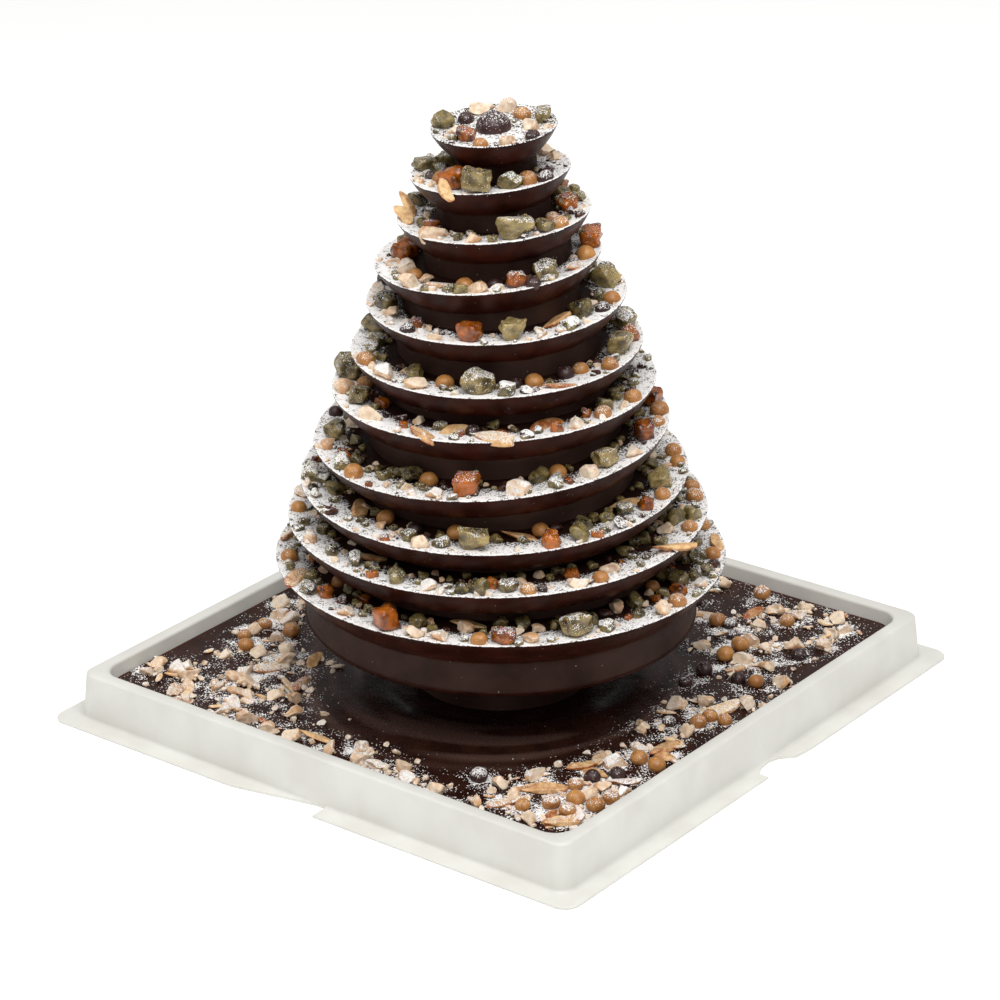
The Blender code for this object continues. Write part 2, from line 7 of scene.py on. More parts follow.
import logging
import math
import random
from collections.abc import Callable, Iterable, Iterator
from dataclasses import dataclass, field
from enum import Enum
from typing import Any, NamedTuple

import bmesh
import bpy
from mathutils import Matrix, Vector, noise


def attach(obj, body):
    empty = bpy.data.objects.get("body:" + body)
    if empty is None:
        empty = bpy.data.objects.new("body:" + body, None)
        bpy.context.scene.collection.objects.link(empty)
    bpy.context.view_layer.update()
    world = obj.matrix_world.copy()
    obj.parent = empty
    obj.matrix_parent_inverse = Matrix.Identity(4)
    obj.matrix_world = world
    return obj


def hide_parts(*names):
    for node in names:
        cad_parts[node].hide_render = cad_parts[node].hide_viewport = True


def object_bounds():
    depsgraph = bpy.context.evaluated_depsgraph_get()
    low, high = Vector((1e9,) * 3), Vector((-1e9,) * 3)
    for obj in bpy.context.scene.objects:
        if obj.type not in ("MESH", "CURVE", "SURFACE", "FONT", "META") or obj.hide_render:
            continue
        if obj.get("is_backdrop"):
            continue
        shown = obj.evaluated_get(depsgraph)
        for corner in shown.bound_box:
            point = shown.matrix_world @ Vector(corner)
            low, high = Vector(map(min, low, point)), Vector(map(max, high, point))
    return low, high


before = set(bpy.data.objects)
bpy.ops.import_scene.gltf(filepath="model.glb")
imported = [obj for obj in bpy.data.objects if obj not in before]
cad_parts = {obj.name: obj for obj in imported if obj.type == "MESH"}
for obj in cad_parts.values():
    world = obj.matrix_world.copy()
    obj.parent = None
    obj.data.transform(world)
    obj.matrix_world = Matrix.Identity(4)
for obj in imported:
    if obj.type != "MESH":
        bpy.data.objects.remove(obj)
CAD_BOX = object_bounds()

LOG = logging.getLogger("chocolate_tree")
MM = 0.001
GAP = 0.3 * MM

# Each set of random draws has a seed of its own; the solids share the first.
SEED = 25
TIER_SEED = SEED * 3
SLAB_SEED = SEED * 5
CRUMB_SEED = SEED * 7
SLAB_CRUMB_SEED = SEED * 11
PIECE_SEED = SEED * 13
GRAIN_SEED = SEED * 17
FILLER_SEED = SEED * 31

# Settings that several nodes share: a smooth step between two ranges, and a mix of two colours,
# whose colours are inputs 6 and 7 and whose result is output 2.
SMOOTH = {"interpolation_type": "SMOOTHSTEP"}
COLOURS = {"data_type": "RGBA"}

Socket = bpy.types.NodeSocket
Tree = bpy.types.NodeTree
Node = bpy.types.Node
Material = bpy.types.Material
BMesh = bmesh.types.BMesh
Ball = tuple[Vector, float]
Pairs = tuple[tuple[float, float], ...]
Levels = list[tuple[float, float, float]]


class Topping(Enum):
    """The kinds of topping, by the letters that the plans use."""

    CARAMEL_PEARL = "p"
    DARK_PEARL = "d"
    CHOPPED_NUT = "n"
    ALMOND_FLAKE = "a"
    CANDIED_PEEL = "o"
    CANDIED_FRUIT = "g"
    DARK_PIECE = "b"
    GREEN_LUMP = "*"
    ORANGE_CUBE = "#"


@dataclass(frozen=True)
class Kind:
    """One kind of topping: its solid's size in millimetres, and how its piece departs from that.

    The roughness is a share of its size, grown is how much larger the piece is made along each
    side, and bare is the share of the icing sugar round it that it keeps.
    """

    length: float
    width: float
    height: float
    roughness: float
    is_cube: bool = False
    grown: tuple[float, float, float] = (1.0, 1.0, 1.0)
    bare: float = 1.0


KINDS: dict[Topping, Kind] = {
    Topping.CARAMEL_PEARL: Kind(7.0, 7.0, 7.0, 0.0, False, (1.0, 1.0, 0.84), 0.55),
    Topping.DARK_PEARL: Kind(6.6, 6.6, 6.6, 0.0, False, (1.0, 1.0, 0.86), 0.7),
    Topping.CHOPPED_NUT: Kind(7.6, 6.2, 4.8, 0.16, True, (1.05, 1.05, 1.12)),
    Topping.ALMOND_FLAKE: Kind(15.5, 4.8, 2.6, 0.10, True, (1.0, 1.25, 1.0), 0.7),
    Topping.CANDIED_PEEL: Kind(7.6, 6.6, 5.8, 0.08, True, (1.08, 1.0, 1.12), 0.5),
    Topping.CANDIED_FRUIT: Kind(8.0, 7.2, 6.0, 0.07, False, (1.1, 1.0, 1.1)),
    Topping.DARK_PIECE: Kind(6.4, 5.4, 4.2, 0.16, True),
    Topping.GREEN_LUMP: Kind(13.0, 11.5, 9.6, 0.06, bare=0.5),
    Topping.ORANGE_CUBE: Kind(10.0, 9.2, 8.4, 0.05, True, bare=0.3),
}
PEARLS = (Topping.CARAMEL_PEARL, Topping.DARK_PEARL)
LUMPS = (Topping.GREEN_LUMP, Topping.ORANGE_CUBE)
CANDIED = (Topping.CANDIED_PEEL, Topping.CANDIED_FRUIT, *LUMPS)


class Spot(NamedTuple):
    """How a piece is laid on a tier: its place, turn and size, and the floor's height under it."""

    topping: Topping
    radius: float
    angle: float
    turn: float
    size: float
    floor: float


class SlabSpot(NamedTuple):
    """How a piece is laid on the slab."""

    topping: Topping
    x: float
    y: float
    size: float
    turn: float


class Place(NamedTuple):
    """A piece in its place on the tree, with its sugar, its solid's number and its tint, if any."""

    topping: Topping
    matrix: Matrix
    size: float
    dust: float
    number: int = 0
    tint: float | None = None


# ---- mesh helpers


def clamp(value: float, low: float = 0.0, high: float = 1.0) -> float:
    """Hold a value between two limits."""
    return max(low, min(high, value))


def polar(radius: float, angle: float, height: float = 0.0) -> Vector:
    """Return the point at a radius and an angle about the Z axis."""
    return Vector((radius * math.cos(angle), radius * math.sin(angle), height))


def moved(base: Matrix, point: Vector, turn: float) -> Matrix:
    """Return a frame moved to a point of its own and turned about its Z axis."""
    return base @ Matrix.Translation(point) @ Matrix.Rotation(turn, 4, "Z")


def turned(profile: Iterable[tuple[float, float]], steps: int) -> BMesh:
    """Spin a profile of (radius, height) points about +Z into a closed form.

    Args:
        profile: Points from the axis at the top, down the outer side, back to the axis.
        steps: Number of steps in a full turn.

    Returns:
        The turned bmesh.
    """
    bm = bmesh.new()
    verts = [bm.verts.new((radius, 0.0, height)) for radius, height in profile]
    edges = [bm.edges.new(pair) for pair in zip(verts, verts[1:])]
    bmesh.ops.spin(
        bm,
        geom=verts + edges,
        cent=(0.0, 0.0, 0.0),
        axis=(0.0, 0.0, 1.0),
        angle=math.tau,
        steps=steps,
        use_merge=True,
    )
    bmesh.ops.remove_doubles(bm, verts=bm.verts[:], dist=0.01 * MM)
    bmesh.ops.recalc_face_normals(bm, faces=bm.faces[:])
    return bm


def open_rim(bm: BMesh) -> list[bmesh.types.BMEdge]:
    """Return the edges that bound a mesh's open sides."""
    return [edge for edge in bm.edges if edge.is_boundary]


def close_up(bm: BMesh) -> None:
    """Fill a mesh's open sides and turn its faces outwards."""
    bmesh.ops.holes_fill(bm, edges=open_rim(bm), sides=0)
    bmesh.ops.recalc_face_normals(bm, faces=bm.faces[:])


def cut_away(bm: BMesh, point: Vector, normal: Vector) -> None:
    """Cut away what lies beyond a plane, and close the cut.

    Args:
        bm: The mesh to cut.
        point: A point of the plane.
        normal: The plane's normal, on the side that goes.
    """
    geometry = bm.verts[:] + bm.edges[:] + bm.faces[:]
    bmesh.ops.bisect_plane(bm, geom=geometry, plane_co=point, plane_no=normal, clear_outer=True)
    rim = open_rim(bm)
    if rim:
        bmesh.ops.holes_fill(bm, edges=rim, sides=0)


def roughen(bm: BMesh, depth: float, grain: float, offset: Vector) -> None:
    """Move each vertex along its normal by smooth noise.

    Args:
        bm: The mesh to roughen.
        depth: Largest move, in metres.
        grain: Size of the bumps, in metres.
        offset: Shift of the noise, so that no two pieces share it.
    """
    bm.normal_update()
    for vert in bm.verts:
        vert.co += vert.normal * depth * noise.noise(vert.co / grain + offset)


def flatten(bm: BMesh, normal: Vector, reach: float, share: float = 1.0) -> None:
    """Press what lies beyond a plane back towards it, and mark it as a cut face by its tint.

    Args:
        bm: The mesh, which has a "tint" for each vertex.
        normal: The plane's unit normal, outwards.
        reach: The plane's distance from the middle.
        share: How far it is pressed, from 0 to 1.
    """
    tint = bm.verts.layers.float["tint"]
    for vert in bm.verts:
        over = vert.co.dot(normal) - reach
        if over > 0.0:
            vert.co -= normal * (over * share)
            vert[tint] = 0.0


def fill_box(bm: BMesh) -> None:
    """Stretch a form until it just fills a unit box about the origin.

    Args:
        bm: The form.
    """
    for axis in range(3):
        places = [vert.co[axis] for vert in bm.verts]
        low, high = min(places), max(places)
        for vert in bm.verts:
            vert.co[axis] = (vert.co[axis] - low) / (high - low) - 0.5


def float_layers(bm: BMesh, *names: str) -> list[Any]:
    """Give a mesh's vertices new numbers, by name, and return their layers."""
    return [bm.verts.layers.float.new(name) for name in names]


def tinted_mesh() -> BMesh:
    """Return an empty mesh whose vertices have a tint and an amount of icing sugar."""
    bm = bmesh.new()
    float_layers(bm, "tint", "dust")
    return bm


def random_offset(rng: random.Random) -> Vector:
    """Return a random shift for noise."""
    return Vector([rng.uniform(-50.0, 50.0) for _ in range(3)])


def random_direction(rng: random.Random) -> Vector:
    """Draw a random direction.

    Args:
        rng: Source of random numbers.

    Returns:
        A unit vector.
    """
    height = rng.uniform(-1.0, 1.0)
    angle = rng.uniform(0.0, math.tau)
    flat = math.sqrt(1.0 - height * height)
    return Vector((flat * math.cos(angle), flat * math.sin(angle), height))


def to_mesh(bm: BMesh, name: str) -> bpy.types.Mesh:
    """Turn a bmesh into a new mesh.

    Args:
        bm: The bmesh; it is freed.
        name: The mesh's name.

    Returns:
        The mesh.
    """
    mesh = bpy.data.meshes.new(name)
    bm.to_mesh(mesh)
    bm.free()
    return mesh


def to_object(name: str, data: bpy.types.ID) -> bpy.types.Object:
    """Put a new object in the scene.

    Args:
        name: The object's name.
        data: What it shows or holds.

    Returns:
        The object.
    """
    item = bpy.data.objects.new(name, data)
    bpy.context.scene.collection.objects.link(item)
    return item


def to_piece(
    bm: BMesh,
    name: str,
    material: Material,
    slot: str,
    sharp: float = 40.0,
    nodes: Iterable[str] = (),
) -> None:
    """Turn a bmesh into a finished piece that rides on the part's body.

    Args:
        bm: The mesh, already in its place; it is freed.
        name: The piece's name.
        material: Its material.
        slot: Not used.
        sharp: Angle in degrees past which an edge is shaded sharp.
        nodes: The solids that the piece stands for.
    """
    mesh = to_mesh(bm, name)
    mesh.shade_smooth()
    mesh.set_sharp_from_angle(angle=math.radians(sharp))
    mesh.materials.append(material)
    piece = to_object(name, mesh)
    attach(piece, "root")
    names = list(nodes)
    if names:
        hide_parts(*names)
    LOG.info("%s: %d faces, stands for %s", name, len(mesh.polygons), ", ".join(names) or "no solid")


@dataclass
class Gathering:
    """Many small pieces of one kind, gathered into one mesh with a tint and a dusting for each.

    They are poured into the whole a batch at a time, which keeps the mesh being edited small.
    """

    batch: int = 24
    count: int = 0
    whole: BMesh = field(default_factory=tinted_mesh)
    part: BMesh = field(default_factory=tinted_mesh)

    def add(self, mesh: bpy.types.Mesh, matrix: Matrix, tint: float, dust: float) -> None:
        """Add a copy of a mesh.

        Args:
            mesh: The mesh to copy.
            matrix: Where the copy goes.
            tint: The copy's tint; half of what shows is this, and half the mesh's own.
            dust: The amount of icing sugar on it.
        """
        part = self.part
        start = len(part.verts)
        part.from_mesh(mesh)
        part.verts.ensure_lookup_table()
        fresh = part.verts[start:]
        bmesh.ops.transform(part, matrix=matrix, verts=fresh)
        tint_layer, dust_layer = part.verts.layers.float["tint"], part.verts.layers.float["dust"]
        for vert in fresh:
            vert[tint_layer] = 0.5 * (tint + vert[tint_layer])
            vert[dust_layer] = dust
        self.count += 1
        if self.count % self.batch == 0:
            self.pour()

    def pour(self) -> None:
        """Pour the latest pieces into the whole."""
        mesh = to_mesh(self.part, "batch")
        self.whole.from_mesh(mesh)
        bpy.data.meshes.remove(mesh)
        self.part = tinted_mesh()

    def gathered(self) -> BMesh:
        """Return everything gathered, in one mesh."""
        self.pour()
        self.part.free()
        return self.whole


# ---- the plan


@dataclass(frozen=True)
class TreePlan:
    """Sizes of the tree and the rule by which its toppings are laid, as the solids have them.

    Angles are counted from the tree's left side, counter-clockwise from above; the front is at 90
    degrees.  In a plan, a capital lies near the rim and a small letter near the foot of the tier
    above, and a dot is a bare place.  Heights, leans and shifts are listed from the top tier down,
    in millimetres and degrees.
    """

    x: float = 8.2 * MM
    y: float = -12.0 * MM
    left: float = math.radians(218.55)
    count: int = 11
    top_radius: float = 24.5 * MM
    radius_step: float = 6.55 * MM
    rim_heights: tuple[float, ...] = (
        *(246.3, 228.9, 212.2, 194.6, 178.4, 158.9),
        *(143.1, 123.6, 105.0, 88.5, 69.4),
    )
    lean_right: tuple[float, ...] = (3.0, 3.8, 3.4, 3.5, 1.9, 1.3, 1.3, 3.0, 0.5, 0.0, -1.1)
    lean_front: tuple[float, ...] = (1.6, -1.0, 0.3, 0.5, 2.4, 1.6, 1.0, 2.1, 2.7, 1.2, 0.0)
    shift_right: tuple[float, ...] = (0.4, -1.2, 0.0, -2.8, 0.2, 0.0, -1.4, -2.8, -2.0, -0.9, 0.0)
    dish_depth: float = 1.5 * MM
    flat_share: float = 0.80
    lip_thick: float = 0.7 * MM
    band_height: float = 10.8 * MM
    band_inset: float = 7.9 * MM
    foot_share: float = 0.785
    foot_step: float = 1.0 * MM
    low_band_height: float = 12.6 * MM
    low_band_inset: float = 11.2 * MM
    body_radius: float = 78.3 * MM
    body_drop: float = 24.9 * MM
    underside_radius: float = 74.0 * MM
    underside_drop: float = 28.8 * MM
    ball_radius: float = 6.8 * MM
    ball_flat: float = 6.4 * MM
    ball_squash: float = 0.95
    ball_room: float = 4.2 * MM
    sink: float = 0.9 * MM
    clearance: float = 0.5 * MM
    crowding: float = 0.8
    lump_sizes: tuple[float, float] = (0.75, 1.08)
    piece_sizes: tuple[float, float] = (0.86, 1.12)
    lump_lane: float = 0.55
    lane_spread: float = 0.8 * MM
    turn_spread: float = 40.0
    rim_spare: float = 1.2 * MM
    overhang: float = 0.6 * MM
    nudge_out: float = 1.6 * MM
    nudge_along: float = 2.0 * MM
    thick_tiers: int = 7
    thick_sugar: float = 1.13
    filler_step: float = 1.1 * MM
    filler_sizes: tuple[float, float] = (0.42, 1.0)
    filler_crowd: tuple[float, float] = (1.3, 1.6)
    filler_kinds: tuple[Topping, ...] = (
        *(Topping.CANDIED_FRUIT,) * 4,
        Topping.DARK_PIECE,
        Topping.CANDIED_PEEL,
        *(Topping.CHOPPED_NUT,) * 2,
    )
    sugar_mean: float = 0.82
    front_sugar_and_light: float = 0.09
    sugar_left: float = 0.03
    sugar_grain: float = 9.0 * MM
    sugar_reach_mm: float = 14.6
    sugar_wander_mm: float = 3.0
    sugar_fade: float = 7.0 * MM
    top_sugar: float = 0.80
    top_wander: float = 0.30
    plans: tuple[tuple[float, float, str], ...] = (
        (15.0, 30.0, "noPNDnGpNNdG"),
        (-20.0, 20.0, "G.poA*gpDboN"),
        (-30.0, 15.0, "GAA.oN.N.*GPp.og"),
        (-10.0, 13.0, "o.npNapNdoD*AP.O.G"),
        (-12.0, 11.0, "N.gn.D.a#.*.aagDP.*"),
        (-18.0, 9.0, "*...P.NgNp.*.dpAdpPN*O"),
        (0.0, 9.0, "pN*.Nb.AadAna*.PnPa.d"),
        (-18.0, 9.0, "Dn*N.GP.gpN#.NgpN*N.#P"),
        (3.0, 8.0, "G.o.apndNp*.apb.B.aP*.P"),
        (0.0, 7.0, "PgpN*padgpNdGbP*NP.n.A.P*.P"),
        (6.0, 6.5, "P.Ap*.Np#NNaPON.*..nNPpNbBPA"),
    )

    def is_lowest(self, index: int) -> bool:
        """Say whether a tier is the lowest, which has a deeper band and a body under it."""
        return index == self.count - 1

    def radius(self, index: int) -> float:
        """Return a tier's rim radius, counted from the top."""
        return self.top_radius + self.radius_step * index

    def foot(self, index: int) -> float:
        """Return the radius of a tier's straight foot."""
        radius = self.radius(index)
        return min(self.foot_share * radius, radius - self.band_inset - self.foot_step)

    def inner(self, index: int, share: float = 0.45) -> float:
        """Return where a tier's bare middle ends: at the foot above, or a share of the top's radius."""
        return self.foot(index - 1) if index > 0 else share * self.radius(index)

    def band(self, index: int) -> tuple[float, float]:
        """Measure a tier's band.

        Args:
            index: The tier, 0 at the top.

        Returns:
            How far the band runs inwards and downwards from the rim.
        """
        if self.is_lowest(index):
            return self.low_band_inset, self.low_band_height
        return self.band_inset, self.band_height

    def matrix(self, index: int) -> Matrix:
        """Place a tier's rim plane.

        Args:
            index: The tier, from the top.

        Returns:
            Its frame, whose X points left and Y to the front, leaning as the tier does.
        """
        right = self.left + math.pi
        shift = self.shift_right[index] * MM
        base = Vector((self.x + shift * math.cos(right), self.y + shift * math.sin(right), 0.0))
        base.z = self.rim_heights[index] * MM
        lean = Matrix.Rotation(math.radians(self.lean_right[index]), 4, "Y")
        nod = Matrix.Rotation(math.radians(-self.lean_front[index]), 4, "X")
        return Matrix.Translation(base) @ Matrix.Rotation(self.left, 4, "Z") @ lean @ nod

    def floor(self, index: int, radius: float) -> float:
        """Work out the height of a tier's dished top.

        Args:
            index: The tier, from the top.
            radius: How far out from its middle.

        Returns:
            The height in the tier's frame.
        """
        flat = self.flat_share * self.radius(index)
        if radius <= flat:
            return -self.dish_depth
        share = min(1.0, (radius - flat) / (self.radius(index) - flat))
        return -self.dish_depth * (1.0 - share)

    def outline(self, index: int) -> list[tuple[float, float]]:
        """List the outer side of a tier's solid.

        Args:
            index: The tier, from the top.

        Returns:
            (radius, height) points from the rim down, in the tier's frame.
        """
        radius = self.radius(index)
        lip = [(radius - 0.6 * self.lip_thick, 0.0), (radius, -self.lip_thick)]
        if self.is_lowest(index):
            return lip + [
                (radius - self.low_band_inset, -self.low_band_height),
                (self.body_radius, -self.low_band_height - self.lip_thick),
                (self.body_radius, -self.body_drop),
                (self.underside_radius, -self.underside_drop),
            ]
        foot = self.foot(index)
        band = [(radius - self.band_inset, -self.band_height), (foot, -self.band_height)]
        return [*lip, *band, (foot, -self.drop(index))]

    def drop(self, index: int) -> float:
        """Return how far below its rim a tier's foot could reach before it is cut."""
        return (self.rim_heights[index] - self.rim_heights[index + 1]) * MM + 3.0 * self.dish_depth

    def distance(self, index: int, point: Vector) -> float:
        """Measure how far outside a tier's outer side a point lies.

        Args:
            index: The tier, from the top.
            point: The point, in the tier's frame.

        Returns:
            The distance, below zero inside.
        """
        place = Vector((math.hypot(point.x, point.y), point.z))
        corners = [Vector(corner) for corner in self.outline(index)]
        nearest = 1.0
        side = 1.0
        for start, end in zip(corners, corners[1:]):
            along = end - start
            if along.length < 0.1 * MM:
                continue
            share = clamp((place - start).dot(along) / along.length_squared)
            offset = place - (start + along * share)
            if offset.length < nearest:
                nearest = offset.length
                side = 1.0 if along.x * offset.y - along.y * offset.x >= 0.0 else -1.0
        return nearest * side

    def balls(self, spot: Spot) -> list[Ball]:
        """Cover a piece with one ball, or with three along it where it is long.

        Args:
            spot: How the piece is laid.

        Returns:
            The balls as (centre, radius), in the tier's frame.
        """
        kind = KINDS[spot.topping]
        grown = (1.0 + 2.0 * kind.roughness) * MM * spot.size
        section = math.hypot(kind.width, kind.height) if kind.is_cube else max(kind.width, kind.height)
        ball = 0.5 * section * grown
        reach = max(0.0, 0.5 * kind.length * grown - ball)
        centre = polar(spot.radius, spot.angle, spot.floor + 0.5 * kind.height * MM * spot.size)
        if reach < 1.0 * MM:
            return [(centre, ball + reach)]
        axis = polar(1.0, spot.turn)
        return [(centre + axis * reach * share, ball) for share in (-1.0, 0.0, 1.0)]

    def is_free(
        self, balls: list[Ball], topping: Topping, index: int, taken: list[tuple[Topping, list[Ball]]]
    ) -> bool:
        """Say whether a piece is clear of the tier above and of the pieces laid before it.

        Args:
            balls: The balls that cover the piece.
            topping: Its kind.
            index: Its tier, counted from the top.
            taken: The kind and the balls of each piece laid before it.

        Returns:
            Whether it is clear.
        """
        if index > 0:
            to_upper = self.matrix(index - 1).inverted() @ self.matrix(index)
            for centre, ball in balls:
                if self.distance(index - 1, to_upper @ centre) < ball + self.clearance:
                    return False
        for other_topping, others in taken:
            lump = topping in LUMPS or other_topping in LUMPS
            share = 1.0 if lump else self.crowding
            spare = self.clearance if lump else 0.0
            for centre, ball in balls:
                for other, other_ball in others:
                    if (centre - other).length < (ball + other_ball) * share + spare:
                        return False
        return True

    def lane(self, letter: str, index: int) -> float:
        """Work out where a letter's piece would best lie.

        Args:
            letter: The letter of the plan.
            index: The tier, from the top.

        Returns:
            The radius.
        """
        radius = self.radius(index)
        inner = self.inner(index)
        topping = Topping(letter.lower())
        half_width = 0.5 * KINDS[topping].width * MM
        if topping in LUMPS:
            return inner + self.lump_lane * (radius - inner)
        if letter.isupper():
            return radius - half_width - self.rim_spare
        return inner + half_width + self.clearance

    def letters(self, index: int) -> list[tuple[float, str]]:
        """Carry a tier's plan all the way round; its back repeats it in reverse.

        Args:
            index: The tier, from the top.

        Returns:
            (angle in degrees, letter) of each place that isn't bare.
        """
        first, step, letters = self.plans[index]
        places = [(first + step * i, letter) for i, letter in enumerate(letters)]
        count = int(round((360.0 - step * len(letters)) / step))
        back = letters[::-1]
        start = first + step * len(letters)
        places += [(start + step * i, back[i % len(back)]) for i in range(count)]
        return [(angle, letter) for angle, letter in places if letter != "."]

    def laid(self, index: int) -> Iterator[Spot]:
        """Lay a tier's pieces by the solids' rule, each at the first of a few places that is free.

        Args:
            index: The tier, from the top.

        Yields:
            How each piece is laid, the lumps first.
        """
        rng = random.Random(SEED + index)
        plan = sorted(self.letters(index), key=lambda place: place[1] not in "*#")
        taken: list[tuple[Topping, list[tuple[Vector, float]]]] = []
        if index == 0:
            centre = Vector((0.0, 0.0, self.ball_room))
            taken.append((Topping.GREEN_LUMP, [(centre, self.ball_radius)]))
        nudges = [(out, along) for out in (0, 1, -1, 2, 3) for along in (0, 1, -1, 2, -2)]
        for degrees, letter in plan:
            topping = Topping(letter.lower())
            kind = KINDS[topping]
            size = rng.uniform(*(self.lump_sizes if topping in LUMPS else self.piece_sizes))
            turn = math.radians(degrees + 90.0 + rng.uniform(-self.turn_spread, self.turn_spread))
            lane = self.lane(letter, index) + rng.uniform(-self.lane_spread, self.lane_spread)
            for out, along in nudges:
                radius = lane + out * self.nudge_out
                angle = math.radians(degrees) + along * self.nudge_along / radius
                if radius + 0.5 * kind.width * MM * size > self.radius(index) + self.overhang:
                    continue
                half_length = 0.5 * kind.length * MM * size
                floor = self.floor(index, radius + (half_length if topping in LUMPS else 0.0))
                spot = Spot(topping, radius, angle, turn, size, floor)
                balls = self.balls(spot)
                if self.is_free(balls, topping, index, taken):
                    taken.append((topping, balls))
                    yield spot
                    break

    def fillers(self, index: int) -> Iterator[Spot]:
        """Lay smaller pieces in the gaps between a tier's pieces, more of them towards its foot.

        Args:
            index: The tier, from the top.

        Yields:
            How each piece is laid.
        """
        rng = random.Random(FILLER_SEED + index)
        edge = self.radius(index)
        taken = [(spot.topping, self.balls(spot)) for spot in self.laid(index)]
        tries = int(math.tau * edge / self.filler_step) if index > 0 else 0
        smallest, largest = self.filler_sizes
        small_crowd, foot_crowd = self.filler_crowd
        for _ in range(tries):
            topping = rng.choice(self.filler_kinds)
            size = smallest + (largest - smallest) * rng.random() ** small_crowd
            half = 0.5 * KINDS[topping].length * MM * size
            low = self.inner(index) + half + self.clearance
            radius = low + (edge - half - low) * rng.random() ** foot_crowd
            angle = rng.uniform(0.0, math.tau)
            turn = rng.uniform(0.0, math.tau)
            spot = Spot(topping, radius, angle, turn, size, self.floor(index, radius))
            balls = self.balls(spot)
            if self.is_free(balls, topping, index, taken):
                taken.append((topping, balls))
                yield spot

    def sieved(self, index: int, radius: float, angle: float) -> float:
        """Work out how thickly icing sugar lies on a tier.

        It was sieved from above, so the tier above keeps it off the inner part, and it lies
        thickest at the front: partly more sugar there, partly painted light, whiter towards the
        front lamps.

        Args:
            index: The tier, from the top.
            radius: How far out from its middle.
            angle: The angle round it.

        Returns:
            The amount, from 0 to about 1.
        """
        # painted light in part: the front term thickens the sugar towards the front lamps, so it shows whiter
        # there
        side = self.sugar_mean + self.front_sugar_and_light * math.sin(angle) + self.sugar_left * math.cos(angle)
        if 0 < index < self.thick_tiers:
            side *= self.thick_sugar
        around = polar(1.0, angle) * radius / self.sugar_grain
        drift = noise.noise(around + Vector((0.0, 0.0, 5.0 * index)))
        if index == 0:
            return (self.top_sugar + self.top_wander * drift) * side
        shadow = self.radius(index) - (self.sugar_reach_mm + self.sugar_wander_mm * drift) * MM
        return side * clamp((radius - shadow) / self.sugar_fade) ** 0.8


# ---- finishes


def linear(code: str) -> tuple[float, float, float, float]:
    """Turn a colour code into a linear colour.

    Args:
        code: An sRGB hex code such as #A1B2C3.

    Returns:
        Red, green, blue and an alpha of 1.
    """
    channels = [int(code[i : i + 2], 16) / 255.0 for i in (1, 3, 5)]
    red, green, blue = [c / 12.92 if c <= 0.04045 else ((c + 0.055) / 1.055) ** 2.4 for c in channels]
    return red, green, blue, 1.0


def feed(tree: Tree, node: Node, inputs: dict[str | int, Any]) -> None:
    """Give a node's inputs what is meant for them.

    Args:
        tree: The node tree.
        node: The node.
        inputs: By input name or number, a socket to link, a node whose first output is linked, a
            hex code for a colour, or a value to set.
    """
    for name, given in inputs.items():
        if isinstance(given, Node):
            given = given.outputs[0]
        if isinstance(given, Socket):
            tree.links.new(given, node.inputs[name])
        else:
            node.inputs[name].default_value = linear(given) if isinstance(given, str) else given


def add_node(
    tree: Tree, kind: str, inputs: dict[str | int, Any] | None = None, **settings: Any
) -> Node:
    """Add a node with its settings, input values and links.

    Args:
        tree: The node tree.
        kind: The node's type, without the leading "ShaderNode".
        inputs: What its inputs get, as feed takes it.
        settings: Properties of the node.

    Returns:
        The new node.
    """
    node = tree.nodes.new("ShaderNode" + kind)
    for name, value in settings.items():
        setattr(node, name, value)
    feed(tree, node, inputs or {})
    return node


def start_material(name: str) -> tuple[Material, Tree, Node, Socket]:
    """Start a material.

    Args:
        name: Its name.

    Returns:
        The material, its tree, its shader, and the place of a point on the object.
    """
    material = bpy.data.materials.new(name)
    material.use_nodes = True
    tree = material.node_tree
    shader = tree.nodes["Principled BSDF"]
    place = add_node(tree, "TexCoord").outputs["Object"]
    return material, tree, shader, place


